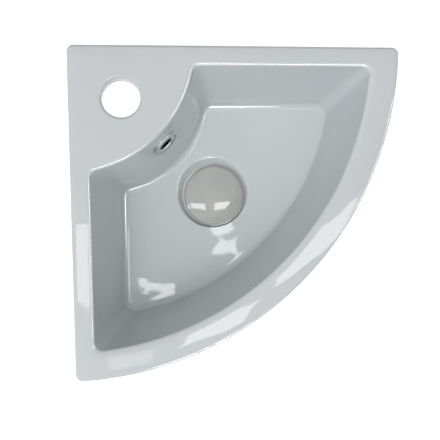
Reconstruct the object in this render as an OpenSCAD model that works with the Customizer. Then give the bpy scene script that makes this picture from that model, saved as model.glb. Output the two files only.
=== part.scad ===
// Quarter-round corner wash basin with its overflow trim and its press-to-open waste.
// The origin is the corner where the two walls meet, on the level of the deck. The basin
// reaches along +X on the back wall and along -Y on the left wall, and hangs below zero.

/* [Basin outline] */
// Length of each side along its wall, and radius of the round front
side_len = 303.5; // [285:0.5:330]
// Height of the ceramic skirt
body_h = 125; // [121:1:150]
// How far the front leans in between the deck and the foot
front_draft = 12; // [6:1:16]
// Radius of the three upright corners
corner_r = 6; // [3:0.5:9]
// Rounding of the deck's outer edge
edge_r = 3.5; // [2:0.5:6]
// Rounding of the skirt's lower edge
foot_r = 7; // [3:0.5:9]

/* [Bowl mouth] */
// Width of the rims along the two walls
side_rim_w = 17.5; // [15.5:0.5:20]
// Width of the front rim on the diagonal
front_rim_w = 27; // [24:0.5:31]
// Radius of the tap platform about the wall corner
platform_r = 112.5; // [105:0.5:116]
// Radius of the mouth's four corners
mouth_corner_r = 7.5; // [6:0.5:11]
// Rounding of the lip between deck and bowl
lip_r = 3; // [2:0.5:4]
// Width of that rounding along the front rim
front_lip_w = 6.5; // [4:0.5:8]

/* [Bowl floor] */
// Depth of the floor at the waste
bowl_depth = 100; // [90:1:103]
// Fall of the floor towards the waste, in degrees
floor_slope = 1.6; // [0.5:0.1:2.5]
// How far the walls along the sides lean in
side_lean = 25.7; // [23:0.1:28]
// How far the platform wall leans out on the diagonal
platform_lean = 29.5; // [26:0.5:32]
// How far the front wall leans in on the diagonal
front_lean = 7.6; // [4:0.1:12]
// Shift of the floor's near arc from the wall corner
near_shift = 27.5; // [22:0.5:32]
// Shift of the floor's front arc from the wall corner
far_shift = 17; // [10:0.5:24]
// Radius of the floor's four corners
floor_corner_r = 13; // [11:0.5:16]
// Rounding between the walls and the floor
floor_fillet_r = 6; // [5:0.5:9]

/* [Ceramic thickness] */
// Thickness of the bowl's walls
bowl_wall = 9; // [7:0.5:10]
// Thickness of the bowl's floor
floor_t = 9; // [7:0.5:10]
// Thickness of the deck
deck_t = 14; // [11:0.5:16]
// Thickness of the two panels against the walls
panel_t = 10; // [8:0.5:12]
// Thickness of the foot rim at the front
foot_rim_w = 24; // [18:1:28]
// Extra thickness of the bowl's walls just under the deck
haunch = 6; // [4:0.5:8]
// Height of that thickening
haunch_h = 26; // [18:1:32]

/* [Tap hole] */
// Diameter of the tap hole
tap_hole_d = 35; // [32:0.5:36]
// Distance of the tap hole from each wall
tap_inset = 46.5; // [44:0.5:50]
// Thickness of the deck round the tap hole
tap_pad_t = 22; // [18:0.5:24]
// Width of the thick ring round the tap hole
tap_pad_w = 8; // [6:0.5:10]
// Rounding of the tap hole's upper edge
tap_edge_r = 2.5; // [1:0.5:3]

/* [Wall fixings] */
// Diameter of the fixing hole in each wall panel
fixing_d = 14; // [10:0.5:16]
// Distance of the fixing holes from the wall corner
fixing_inset = 80; // [60:1:88]
// Depth of the fixing holes below the deck
fixing_drop = 62; // [50:1:75]

/* [Drain] */
// Distance of the drain from each wall
drain_inset = 138.5; // [136:0.5:142]
// Diameter of the drain hole
drain_hole_d = 46; // [45.5:0.5:48]
// Space round the waste's flange on the flat seat of its shallow recess
recess_play = 1.8; // [1:0.1:2.5]
// Depth of that recess
recess_depth = 6; // [5.5:0.5:7]
// Slope of the recess's side, in degrees
recess_lean = 45; // [40:1:60]
// Rounding between the seat and that side
recess_fillet_r = 2.5; // [1:0.5:2.5]
// Rounding of the recess's rim
recess_brim_r = 5; // [3:0.5:6]
// Radius of the drain boss under the floor
boss_top_r = 42; // [41:0.5:45]
// Radius of the drain boss at its lower face
boss_foot_r = 36; // [35:0.5:38]
// Height of the boss under the bowl's floor
boss_h = 19; // [17:0.5:24]

/* [Overflow] */
// Depth of the overflow hole's centre below the deck
overflow_drop = 28; // [26:0.5:34]
// Diameter of the overflow hole
overflow_hole_d = 23; // [22:0.5:24]
// Width of the overflow passage
passage_w = 26; // [25:0.5:28]
// Depth of the overflow passage
passage_t = 9; // [8:0.5:10]
// Ceramic between the bowl and the overflow passage
passage_cover = 7; // [5.5:0.5:8]
// Ceramic behind and under the overflow passage
passage_wall = 5; // [4.5:0.5:5.5]
// Depth of the flat that the overflow ring sits on
ring_seat = 1; // [0.9:0.1:1.5]

/* [Overflow ring] */
// Outer diameter of the ring
ring_d = 28; // [27:0.5:29]
// Diameter of the ring's opening
ring_open_d = 14; // [12:0.5:15]
// Thickness of the ring's face
ring_t = 3.6; // [2.5:0.1:4]
// Rounding of the ring's outer edge
ring_edge_r = 0.8; // [0.4:0.1:1]
// Wall of the ring's tube
ring_tube_t = 1.2; // [0.8:0.1:1.5]
// Length of the ring's tube behind its face
ring_tube_l = 9; // [7:0.5:10]
// Number of barbs on the sleeve
barb_count = 3; // [2:1:4]
// Clearance of the sleeve in its hole
sleeve_gap = 0.15; // [0.1:0.05:0.3]

/* [Waste body] */
// Diameter of the waste's flange
flange_d = 62.4; // [61:0.2:64]
// Thickness of the flange
flange_t = 2.5; // [2.2:0.1:3]
// Outer diameter of the threaded tube
waste_d = 41.91; // [41:0.01:42.5]
// Inner diameter of the tube
waste_bore_d = 36; // [35:0.5:37]
// Length of the waste under its flange
waste_l = 82; // [76:1:95]
// Width of the groove between the nut's thread and the trap's thread
relief_w = 2; // [1.5:0.1:3]
// Depth of that groove
relief_t = 0.6; // [0.4:0.1:1]
// Diameter of the neck below the flange
neck_d = 45; // [44.6:0.1:45.2]
// Length of that neck
neck_l = 4; // [3:0.5:5]
// Diameter of the dished mouth at the flange's top
dish_d = 47; // [46.8:0.1:47.6]
// Depth of the dished mouth
dish_h = 6.5; // [6:0.1:7.5]
// Width of the two overflow slots
slot_w = 18; // [14:0.5:22]
// Height of the two overflow slots
slot_h = 7; // [5:0.5:8]
// Height of the cross that carries the latch
cross_h = 6; // [5:0.5:7]
// Width of the arms of the cross
arm_w = 3.5; // [3:0.5:4.5]
// Number of arms
arm_count = 3; // [3:1:4]
// Radius of the hub of the cross
hub_r = 8; // [7.8:0.1:9]
// Distance from the flange's top to the top of the cross
cross_drop = 38; // [37:0.5:40]

/* [Waste seals and nut] */
// Thickness of the gasket under the flange
gasket_t = 2; // [1.5:0.1:2.5]
// Outer radius of that gasket
gasket_r = 30; // [28:0.5:30.5]
// Height of the tapered seal under the boss
taper_seal_h = 6; // [5:0.5:8]
// Outer radius of the tapered seal
taper_seal_r = 31; // [29:0.5:33]
// Outer radius of the seal's smaller end
taper_seal_small_r = 27; // [25:0.5:28.5]
// Thickness of the slip washer
slip_washer_t = 1.6; // [1:0.1:2]
// Outer radius of the slip washer
slip_washer_r = 29; // [28:0.5:31]
// Height of the back nut
nut_h = 8; // [7:0.5:10]
// Width of the back nut across its flats
nut_af = 52; // [50:0.5:56]
// Play of the seals and the nut on the thread
thread_gap = 0.1; // [0.05:0.05:0.2]

/* [Plug] */
// Diameter of the domed cap
cap_d = 62; // [61:0.2:63]
// Height of the cap's upright edge
cap_edge_h = 2.6; // [2:0.1:3.5]
// Rise of the dome above that edge
cap_dome_h = 6.2; // [4:0.1:7]
// Rounding between edge and dome
cap_edge_r = 1.2; // [0.6:0.1:1.5]
// Gap between cap and flange when the waste is shut
cap_gap = 0.35; // [0.3:0.05:0.5]
// How far the plug rises when it is open
plug_travel = 9; // [8:0.1:9.4]
// Thickness of the carrier plate under the cap
carrier_t = 2; // [1.6:0.1:2.2]
// Thickness of the lip that keeps the seal on the carrier
carrier_lip_t = 0.5; // [0.4:0.05:0.6]
// Width that the lip grips under the seal
carrier_lip_w = 1.2; // [0.9:0.1:1.4]
// Radius of the carrier inside the seal
carrier_core_r = 19; // [18.5:0.1:19.4]
// Radius of the spigot in the cap
spigot_r = 9; // [8:0.5:12]
// Height of the spigot in the cap
spigot_h = 3; // [2.4:0.1:3.5]
// Clearance of the plug's seal from the dished mouth
seal_gap = 0.3; // [0.3:0.05:0.5]
// Height of the carrier's threaded boss
carrier_boss_h = 2; // [1.6:0.1:2.4]
// Radius of that boss
carrier_boss_r = 6; // [5.5:0.5:7]
// Width of the lock nut across its flats
lock_nut_af = 10; // [9:0.5:11]
// Height of the lock nut
lock_nut_h = 2.5; // [2:0.1:2.8]

/* [Latch] */
// Radius of the push stem
stem_r = 3; // [2.6:0.1:3.2]
// Outer radius of the latch barrel
barrel_r = 7.5; // [7.3:0.1:7.7]
// Radius of the barrel's bore
barrel_bore_r = 5.6; // [5.5:0.1:5.8]
// Thickness of the barrel's end cap
barrel_cap_t = 2; // [1.6:0.1:2.4]
// Length of the end cap's spigot in the barrel
barrel_cap_spigot_l = 1.5; // [1.2:0.1:1.8]
// Thickness of the barrel's floor
barrel_floor_t = 1; // [0.8:0.1:1.2]
// Radius of the barrel's threaded tail in the hub
barrel_tail_r = 5; // [4.5:0.1:5.4]
// Height of the stem's toothed crown
crown_h = 3; // [2.6:0.1:3.2]
// Height of the rotor's ring
rotor_h = 5; // [4.8:0.1:5.4]
// Radius of the rotor's ring
rotor_ring_r = 3.9; // [3.7:0.1:4]
// Number of ribs on the rotor and in the barrel
rib_count = 4; // [4:1:4]
// Width of each rib
rib_w = 1.1; // [1:0.05:1.2]
// Height of the cam teeth on crown and rotor
tooth_h = 0.8; // [0.5:0.1:1]
// Angle that the rotor turns at each press
rotor_turn = 45; // [45:1:45]
// Running clearance of the stem and the rotor
run_gap = 0.08; // [0.05:0.01:0.1]
// Play between latch pieces that pass one another
latch_gap = 0.3; // [0.3:0.05:0.4]
// Diameter of the spring's wire
wire_d = 0.9; // [0.7:0.05:1]
// Number of turns of the spring
spring_turns = 5; // [4:1:6]
// Radius of the spring's wire centre line
spring_r = 4; // [3.8:0.1:4.2]

/* [Hidden] */

$fn = 96;
overrun = 1;          // how far every cut passes through
root2 = sqrt(2);
diagonal = -45;       // bearing of the basin's line of symmetry

// Points on each stretch of the outlines and steps of each rounding
near_steps = 8;
corner_steps = 4;
side_steps = 3;
far_steps = 14;
round_steps = 4;
fillet_steps = 5;
floor_shares = [0.35, 0.7, 1];
front_steps = 40;

// Bowl: each outline is [rim, near radius, near shift, far radius, far shift, corner radius]
mouth_far_r = side_len - front_rim_w;
floor_near_r = platform_r + platform_lean - root2 * near_shift;
floor_far_r = side_len - front_rim_w - front_lean - root2 * far_shift;
mouth = [side_rim_w, platform_r, 0, mouth_far_r, 0, mouth_corner_r];
foot = [side_rim_w + side_lean, floor_near_r, near_shift, floor_far_r, far_shift, floor_corner_r];
platform_angle = atan2(platform_lean, bowl_depth);
underside_z = -bowl_depth - floor_t;

// Heights of the waste, from the seat in the recess upwards and downwards
drain = [drain_inset, -drain_inset];
seat_z = -bowl_depth - recess_depth;
flange_z = seat_z + gasket_t;
flange_top_z = flange_z + flange_t;
waste_end_z = flange_z - waste_l;
boss_z = underside_z - boss_h;
taper_seal_z = boss_z - taper_seal_h;
slip_washer_z = taper_seal_z - slip_washer_t;
nut_z = slip_washer_z - nut_h;
waste_r = waste_d / 2;
thread_bore_r = waste_r + thread_gap;
passage_top_z = -overflow_drop + overflow_hole_d / 2 - passage_t / 2;
passage_roof_z = seat_z - passage_wall;
passage_floor_z = passage_roof_z - passage_t;
recess_seat_r = flange_d / 2 + recess_play;
recess_round_r = recess_fillet_r + recess_brim_r;
recess_side_h = recess_depth - recess_round_r * (1 - cos(recess_lean));
recess_rim_r = recess_seat_r + recess_round_r * sin(recess_lean) + recess_side_h / tan(recess_lean);
slot_z = (passage_floor_z + passage_roof_z) / 2;
tube_end_chamfer = 1.2;

// Heights of the plug and the latch at rest, with the plug shut
cap_z = flange_top_z + cap_gap;
carrier_z = cap_z - carrier_t;
carrier_boss_z = carrier_z - carrier_boss_h;
lock_nut_z = carrier_boss_z - lock_nut_h;
barrel_top_z = lock_nut_z - latch_gap;
barrel_seat_z = flange_top_z - cross_drop;
barrel_wall_top_z = barrel_top_z - barrel_cap_t;
cavity_top_z = barrel_wall_top_z - barrel_cap_spigot_l;
cavity_floor_z = barrel_seat_z + barrel_floor_t;
crown_top_z = cavity_top_z - latch_gap - plug_travel;
crown_z = crown_top_z - crown_h;
rotor_top_z = crown_z - tooth_h - latch_gap;
rotor_z = rotor_top_z - rotor_h;
spring_top_z = rotor_z - latch_gap;
rotor_rib_r = barrel_bore_r - latch_gap;
pilot_r = stem_r / 2;
guide_tip_r = rotor_ring_r + latch_gap;
ramp_margin_share = 1.05;
ramp_rise = ramp_margin_share * plug_travel / rotor_turn * (rib_w / guide_tip_r) * 180 / PI;
guide_z = rotor_top_z - tooth_h - ramp_rise + latch_gap;

// Seal of the plug, clear of the dished mouth at its height
function dish_at(z) = dish_d / 2 - (dish_d - waste_bore_d) / 2 * (flange_top_z - z) / dish_h;
seal_z = carrier_z + carrier_lip_t;
seal_r = dish_at(seal_z) - seal_gap;

// Walls of the overflow passage, measured along the diagonal
function platform_reach(z) = platform_r - platform_lean * z / bowl_depth;
function passage_face(z) = platform_reach(z) - passage_cover / cos(platform_angle);
overflow_z = -overflow_drop;
overflow_reach = platform_reach(overflow_z);

// Ring and sleeve
ring_tube_r = ring_open_d / 2 + ring_tube_t;
sleeve_r = overflow_hole_d / 2 - sleeve_gap;
barb_h = 1.2;
rim_lift = 0.15;      // lets the rim of the recess cut the floor at a clear angle

// An arc of n steps round a centre
function arc(c, r, from, to, n) =
    [for (i = [0 : n]) let (a = from + (to - from) * i / n) [c[0] + r * cos(a), c[1] + r * sin(a)]];

// Mirror of a list of points across the diagonal, run backwards, without its two end points
function other_half(pts) = [for (i = [len(pts) - 2 : -1 : 1]) [pts[i][1], pts[i][0]]];

// Distances from the walls turned into plan points
function plan(pts) = [for (p = pts) [p[0], -p[1]]];

// Half of a bowl outline, from the platform on the diagonal round to the front on the diagonal
function half_bowl(g) =
    let (c = g[0] + g[5],
         near_v = g[2] + sqrt(pow(g[1] + g[5], 2) - pow(c - g[2], 2)),
         far_v = g[4] + sqrt(pow(g[3] - g[5], 2) - pow(c - g[4], 2)),
         near_a = atan2(near_v - g[2], c - g[2]),
         far_a = atan2(far_v - g[4], c - g[4]),
         near = arc([g[2], g[2]], g[1], 45, near_a, near_steps),
         near_corner = arc([c, near_v], g[5], near_a + 180, 180, corner_steps),
         side = [for (i = [1 : side_steps]) [g[0], near_v + (far_v - near_v) * i / (side_steps + 1)]],
         far_corner = arc([c, far_v], g[5], 180, far_a, corner_steps),
         far = arc([g[4], g[4]], g[3], far_a, 45, far_steps))
    concat([for (i = [0 : near_steps - 1]) near[i]], near_corner, side, far_corner,
        [for (i = [1 : far_steps]) far[i]]);
function bowl_outline(g) = let (h = half_bowl(g)) plan(concat(h, other_half(h)));

// The bowl's outline at a height, grown by some margin and by another along the front
function bowl_sizes(z, grow, ahead) =
    let (s = min(1, max(0, -z / bowl_depth)), g = mouth * (1 - s) + foot * s)
    [g[0] - grow, g[1] - grow, g[2], g[3] + ahead, g[4], g[5] + grow];
function wide_ring(z, grow, ahead, at_z) =
    [for (p = bowl_outline(bowl_sizes(z, grow, ahead))) [p[0], p[1], at_z]];
function bowl_ring(z, grow, at_z) = wide_ring(z, grow, grow, at_z);

// Height of the falling floor at a plan point, and a ring of it part of the way to the recess
function floor_z(p) = -bowl_depth + tan(floor_slope) * max(0, norm([p[0], p[1]] - drain) - recess_rim_r);
function floor_ring(edge, share) =
    [for (p = edge) let (d = [p[0], p[1]] - drain, q = drain + d * recess_seat_r / norm(d),
        m = [p[0] + (q[0] - p[0]) * share, p[1] + (q[1] - p[1]) * share]) [m[0], m[1], floor_z(m)]];

// The quarter disc of the whole basin, its sides drawn in by inset and its corners rounded
function half_quarter(r, rho, inset) =
    let (c = inset + rho, e = sqrt(pow(r - rho, 2) - pow(c, 2)), a = atan2(e, c))
    concat(arc([c, c], rho, 225, 180, corner_steps), arc([c, e], rho, 180, a, corner_steps),
        [for (i = [1 : front_steps / 2]) let (b = a + (45 - a) * i / (front_steps / 2))
            [r * cos(b), r * sin(b)]]);
function quarter_outline(r, rho, inset) =
    let (h = half_quarter(r, rho, inset)) plan(concat(h, other_half(h)));

// A closed solid through rings of equal length, from the top ring down
module loft(rings) {
    n = len(rings[0]);
    last = (len(rings) - 1) * n;
    walls = [for (k = [0 : len(rings) - 2], i = [0 : n - 1]) let (j = (i + 1) % n, a = k * n, b = a + n)
        each [[a + i, a + j, b + j], [a + i, b + j, b + i]]];
    polyhedron(points = [for (r = rings) each r],
        faces = concat([[for (i = [n - 1 : -1 : 0]) i]], [[for (i = [0 : n - 1]) last + i]], walls));
}

// Radius of the front at a height
function front_at(z) = side_len + front_draft * z / body_h;

// Outer form of the basin
module outer_form() {
    top = [for (i = [0 : round_steps]) let (a = 90 * (1 - i / round_steps))
        [-edge_r * (1 - sin(a)), edge_r * (1 - cos(a))]];
    low = [for (i = [0 : round_steps]) let (a = 90 * i / round_steps)
        [-body_h + foot_r * (1 - sin(a)), foot_r * (1 - cos(a))]];
    loft([for (p = concat(top, low)) let (inset = p[0] < -edge_r ? 0 : p[1])
        [for (q = quarter_outline(front_at(p[0]) - p[1], corner_r, inset)) [q[0], q[1], p[0]]]]);
}

// The space of the bowl, with its rounded lip, its rounded foot and its falling floor
module bowl_space() {
    lip = [for (i = [0 : round_steps]) let (a = 90 * i / round_steps, z = -lip_r * (1 - cos(a)))
        wide_ring(z, lip_r * (1 - sin(a)), front_lip_w * (1 - sin(a)), z)];
    fillet = [for (i = [0 : fillet_steps])
        let (a = 90 * i / fillet_steps, z = -bowl_depth + floor_fillet_r * (1 - sin(a)))
        [for (p = bowl_ring(z, -floor_fillet_r * (1 - cos(a)), z))
            [p[0], p[1], z + (floor_z(p) + bowl_depth) * sin(a)]]];
    edge = fillet[fillet_steps];
    loft(concat([wide_ring(0, lip_r, front_lip_w, overrun)], lip,
        [bowl_ring(-bowl_depth / 2, 0, -bowl_depth / 2)],
        fillet, [for (share = floor_shares) floor_ring(edge, share)]));
}

// The bowl's walls and floor as a solid block, thicker just under the deck
module bowl_block() {
    outer_fillet_r = floor_fillet_r + floor_t;
    corner = [for (i = [0 : fillet_steps])
        let (a = 90 * i / fillet_steps, z = underside_z + outer_fillet_r * (1 - sin(a)))
        bowl_ring(z, bowl_wall - outer_fillet_r * (1 - cos(a)), z)];
    thick = bowl_wall + min(haunch, side_rim_w - bowl_wall - overrun / 2);
    loft(concat([bowl_ring(-edge_r, thick - lip_r, -edge_r), bowl_ring(-deck_t, thick, -deck_t),
        bowl_ring(-deck_t - haunch_h, bowl_wall, -deck_t - haunch_h)], corner));
}

// A plate as wide as given that stands on the diagonal, from its side view
module on_diagonal(w) {
    rotate([0, 0, diagonal]) rotate([90, 0, 0]) linear_extrude(w, center = true) children();
}

// Side view of the overflow passage: down behind the platform wall, then under the floor.
// Its walls stand back by one thickness outwards and by another into the bowl's wall.
module passage_profile(top_z, wall, cover) {
    low_z = passage_floor_z - wall;
    roof_z = passage_roof_z + cover;
    end_reach = root2 * drain_inset;
    polygon([[passage_face(top_z) - passage_t - wall, top_z], [passage_face(top_z) + cover, top_z],
        [passage_face(roof_z) + cover, roof_z], [end_reach, roof_z], [end_reach, low_z],
        [passage_face(low_z) - passage_t - wall, low_z]]);
}

// Frame of the overflow hole: its origin on the platform wall, +Z out of the wall
module at_overflow() {
    translate([overflow_reach / root2, -overflow_reach / root2, overflow_z])
        rotate([0, 0, diagonal]) rotate([0, 90 - platform_angle, 0]) children();
}

// Frame of the drain, on the level of the deck
module at_drain() {
    translate([drain[0], drain[1], 0]) children();
}

// Cutter of the shallow recess round the waste, as tall as the open plug needs
module recess_cut() {
    room_r = recess_seat_r + recess_fillet_r;
    room_z = cap_z + cap_edge_h + cap_dome_h + plug_travel;
    rim = arc([recess_rim_r, -bowl_depth - recess_brim_r + rim_lift], recess_brim_r, 90,
        90 + recess_lean, fillet_steps);
    seat = arc([recess_seat_r, seat_z + recess_fillet_r], recess_fillet_r, recess_lean - 90,
        -90, fillet_steps);
    rotate_extrude() polygon(concat([[0, room_z], [room_r, room_z], [room_r, overrun - bowl_depth],
        [recess_rim_r, overrun - bowl_depth]], rim, seat, [[0, seat_z]]));
}

// Cutter of the tap hole with its rounded upper edge
module tap_cut() {
    r = tap_hole_d / 2;
    translate([tap_inset, -tap_inset, -tap_pad_t - overrun]) cylinder(h = tap_pad_t + 2 * overrun, r = r);
    translate([tap_inset, -tap_inset, 0])
        rotate_extrude() polygon(concat([[0, -tap_edge_r], [0, overrun], [r + tap_edge_r, overrun]],
            arc([r + tap_edge_r, -tap_edge_r], tap_edge_r, 90, 180, fillet_steps)));
}

// Hollow under the deck and round the bowl, open below
module underside_space() {
    translate([0, 0, -body_h - overrun]) linear_extrude(body_h + overrun - deck_t)
        polygon(quarter_outline(side_len - front_draft - foot_rim_w, corner_r, panel_t));
}

module basin_body() {
    color([0.87, 0.89, 0.89]) difference() {
        union() {
            difference() {
                outer_form();
                underside_space();
            }
            bowl_block();
            translate([tap_inset, -tap_inset, -tap_pad_t])
                cylinder(h = tap_pad_t - edge_r, r = tap_hole_d / 2 + tap_pad_w);
            on_diagonal(passage_w + 2 * passage_wall)
                passage_profile(-deck_t / 2, passage_wall, passage_cover);
            translate([drain[0], drain[1], boss_z])
                cylinder(h = seat_z - boss_z + overrun, r1 = boss_foot_r, r2 = boss_top_r);
        }
        bowl_space();
        at_drain() recess_cut();
        translate([drain[0], drain[1], boss_z - overrun])
            cylinder(h = seat_z - boss_z + 2 * overrun, d = drain_hole_d);
        on_diagonal(passage_w) passage_profile(passage_top_z, 0, 0);
        at_overflow() translate([0, 0, -bowl_wall - passage_t / 2])
            cylinder(h = bowl_wall + passage_t / 2 + overrun, d = overflow_hole_d);
        at_overflow() translate([0, 0, -ring_seat])
            cylinder(h = ring_seat + ring_t, d = ring_d + 2 * sleeve_gap);
        tap_cut();
        translate([fixing_inset, overrun, -fixing_drop]) rotate([90, 0, 0])
            cylinder(h = panel_t + 2 * overrun, d = fixing_d);
        translate([-overrun, -fixing_inset, -fixing_drop]) rotate([0, 90, 0])
            cylinder(h = panel_t + 2 * overrun, d = fixing_d);
    }
}

module overflow_ring() {
    r = ring_d / 2;
    inner = ring_open_d / 2;
    color([0.72, 0.75, 0.78]) at_overflow() translate([0, 0, -ring_seat]) rotate_extrude()
        polygon(concat([[inner, -ring_tube_l], [ring_tube_r, -ring_tube_l], [ring_tube_r, 0], [r, 0]],
            arc([r - ring_edge_r, ring_t - ring_edge_r], ring_edge_r, 0, 90, fillet_steps),
            arc([inner + ring_edge_r, ring_t - ring_edge_r], ring_edge_r, 90, 180, fillet_steps)));
}

// Sleeve that grips the overflow hole round the ring's tube
module overflow_sleeve() {
    l = ring_tube_l - ring_tube_t;
    barb_step = l / (barb_count + 1);
    barbs = [for (i = [barb_count : -1 : 1])
        each [[sleeve_r - barb_h, -i * barb_step], [sleeve_r, -i * barb_step + barb_h]]];
    color([0.16, 0.16, 0.17]) at_overflow() translate([0, 0, -ring_seat]) rotate_extrude()
        polygon(concat([[ring_tube_r, -l], [sleeve_r - barb_h, -l]], barbs,
            [[sleeve_r - barb_h, 0], [ring_tube_r, 0]]));
}

// Tube, flange and dished mouth, with two overflow slots and the cross that carries the latch
module waste_body() {
    r = waste_bore_d / 2;
    color([0.75, 0.77, 0.79]) at_drain() {
        difference() {
            rotate_extrude() polygon(concat([[r, waste_end_z], [waste_r - tube_end_chamfer, waste_end_z],
                [waste_r, waste_end_z + tube_end_chamfer], [waste_r, nut_z - relief_w],
                [waste_r - relief_t, nut_z - relief_w], [waste_r - relief_t, nut_z],
                [waste_r, nut_z], [waste_r, flange_z - neck_l],
                [neck_d / 2, flange_z - neck_l], [neck_d / 2, flange_z], [flange_d / 2, flange_z]],
                arc([flange_d / 2 - flange_t / 2, flange_top_z - flange_t / 2], flange_t / 2, 0, 90,
                    fillet_steps),
                [[dish_d / 2, flange_top_z], [r, flange_top_z - dish_h]]));
            rotate([0, 0, diagonal]) translate([-waste_r - overrun, -slot_w / 2, slot_z - slot_h / 2])
                cube([2 * (waste_r + overrun), slot_w, slot_h]);
        }
        translate([0, 0, barrel_seat_z - cross_h]) difference() {
            union() {
                cylinder(h = cross_h, r = hub_r);
                for (i = [0 : arm_count - 1]) rotate([0, 0, 360 * i / arm_count])
                    translate([0, -arm_w / 2, 0]) cube([(r + waste_r) / 2, arm_w, cross_h]);
            }
            translate([0, 0, -overrun]) cylinder(h = cross_h + 2 * overrun, r = barrel_tail_r + thread_gap);
        }
    }
}

// A flat ring round the drain's axis, from its lower face
module drain_ring(z, h, inner, outer) {
    at_drain() translate([0, 0, z]) difference() {
        cylinder(h = h, r = outer);
        translate([0, 0, -overrun]) cylinder(h = h + 2 * overrun, r = inner);
    }
}

module flange_gasket() {
    color([0.85, 0.85, 0.82]) drain_ring(seat_z, gasket_t, drain_hole_d / 2, gasket_r);
}

module taper_seal() {
    color([0.1, 0.1, 0.1]) at_drain() translate([0, 0, taper_seal_z]) difference() {
        cylinder(h = taper_seal_h, r1 = taper_seal_small_r, r2 = taper_seal_r);
        translate([0, 0, -overrun]) cylinder(h = taper_seal_h + 2 * overrun, r = thread_bore_r);
    }
}

module slip_washer() {
    color([0.9, 0.9, 0.88]) drain_ring(slip_washer_z, slip_washer_t, thread_bore_r, slip_washer_r);
}

module back_nut() {
    hex_r = nut_af / 2 / cos(30);
    collar_h = nut_h / 4;
    color([0.78, 0.66, 0.4]) at_drain() translate([0, 0, nut_z]) difference() {
        union() {
            cylinder(h = nut_h - collar_h, r = hex_r, $fn = 6);
            translate([0, 0, nut_h - collar_h]) cylinder(h = collar_h, r = nut_af / 2);
        }
        translate([0, 0, -overrun]) cylinder(h = nut_h + 2 * overrun, r = thread_bore_r);
    }
}

// A rib with one slanted end, standing out along +X between two radii
module cam_rib(from_r, to_r, low, high, rise_low, rise_high) {
    translate([from_r, 0, 0]) rotate([90, 0, 90]) linear_extrude(to_r - from_r)
        polygon([[-rib_w / 2, low], [rib_w / 2, low + rise_low], [rib_w / 2, high + rise_high],
            [-rib_w / 2, high]]);
}

// Barrel screwed into the hub, with guide ribs inside whose lower ends slant
module latch_barrel() {
    wall_mid_r = (barrel_r + barrel_bore_r) / 2;
    color([0.8, 0.68, 0.42]) at_drain() {
        difference() {
            translate([0, 0, barrel_seat_z]) cylinder(h = barrel_wall_top_z - barrel_seat_z, r = barrel_r);
            translate([0, 0, cavity_floor_z])
                cylinder(h = barrel_wall_top_z - cavity_floor_z + overrun, r = barrel_bore_r);
        }
        translate([0, 0, barrel_seat_z - cross_h])
            cylinder(h = cross_h + barrel_floor_t / 2, r = barrel_tail_r);
        for (i = [0 : rib_count - 1]) rotate([0, 0, 360 * i / rib_count])
            cam_rib(guide_tip_r, wall_mid_r, guide_z, cavity_top_z, ramp_rise, 0);
    }
}

module barrel_cap() {
    color([0.8, 0.68, 0.42]) at_drain() difference() {
        union() {
            translate([0, 0, barrel_wall_top_z]) cylinder(h = barrel_cap_t, r = barrel_r);
            translate([0, 0, cavity_top_z])
                cylinder(h = barrel_cap_spigot_l + barrel_cap_t / 2, r = barrel_bore_r);
        }
        translate([0, 0, cavity_top_z - overrun])
            cylinder(h = barrel_cap_spigot_l + barrel_cap_t + 2 * overrun, r = stem_r + run_gap);
    }
}

// Coil of the latch spring, its wire swept as one unbroken tube
module latch_spring() {
    rings_per_turn = 12;
    sides = 6;
    low = cavity_floor_z + wire_d / 2;
    high = spring_top_z - wire_d / 2;
    count = rings_per_turn * spring_turns;
    pitch = (high - low) / spring_turns;
    echo(least_spring_gap = pitch - wire_d);
    pts = [for (k = [0 : count], s = [0 : sides - 1])
        let (a = 360 * k / rings_per_turn, b = 360 * s / sides, r = spring_r + wire_d / 2 * cos(b))
        [r * cos(a), r * sin(a), low + (high - low) * k / count + wire_d / 2 * sin(b)]];
    walls = [for (k = [0 : count - 1], s = [0 : sides - 1])
        let (t = (s + 1) % sides, a = k * sides, b = a + sides)
        each [[a + s, b + t, a + t], [a + s, b + s, b + t]]];
    color([0.7, 0.72, 0.74]) at_drain() polyhedron(points = pts,
        faces = concat([[for (s = [0 : sides - 1]) s]],
            [[for (s = [sides - 1 : -1 : 0]) count * sides + s]], walls));
}

// Ring of cam teeth round the axis, points up or down
module cam_teeth(outer, z, direction) {
    half_w = outer * sin(180 / rib_count / 2) / 2;
    for (i = [0 : 2 * rib_count - 1]) rotate([0, 0, 360 * i / (2 * rib_count)])
        translate([outer / 2, 0, z]) rotate([90, 0, 90]) linear_extrude(outer / 2 - latch_gap)
            polygon([[-half_w, -direction * tooth_h / 2], [half_w, -direction * tooth_h / 2],
                [0, direction * tooth_h]]);
}

module latch_rotor() {
    bore_r = pilot_r + run_gap;
    color([0.93, 0.93, 0.9]) at_drain() {
        difference() {
            union() {
                translate([0, 0, rotor_z]) cylinder(h = rotor_h - tooth_h, r = rotor_ring_r);
                cam_teeth(rotor_ring_r, rotor_top_z - tooth_h, 1);
                for (i = [0 : rib_count - 1]) rotate([0, 0, 360 * i / rib_count])
                    cam_rib(rotor_ring_r - latch_gap, rotor_rib_r, rotor_z,
                        rotor_top_z - tooth_h - ramp_rise, 0, ramp_rise);
            }
            translate([0, 0, rotor_z - overrun]) cylinder(h = rotor_h + 2 * overrun, r = bore_r);
        }
    }
}

module push_stem() {
    top_z = cap_z + spigot_h / 2;
    crown_r = guide_tip_r - latch_gap;
    color([0.8, 0.68, 0.42]) at_drain() {
        translate([0, 0, crown_z]) cylinder(h = top_z - crown_z, r = stem_r);
        translate([0, 0, crown_z]) cylinder(h = crown_h, r = crown_r);
        cam_teeth(crown_r, crown_z, -1);
        translate([0, 0, rotor_z]) cylinder(h = crown_z - rotor_z + overrun, r = pilot_r);
    }
}

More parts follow.
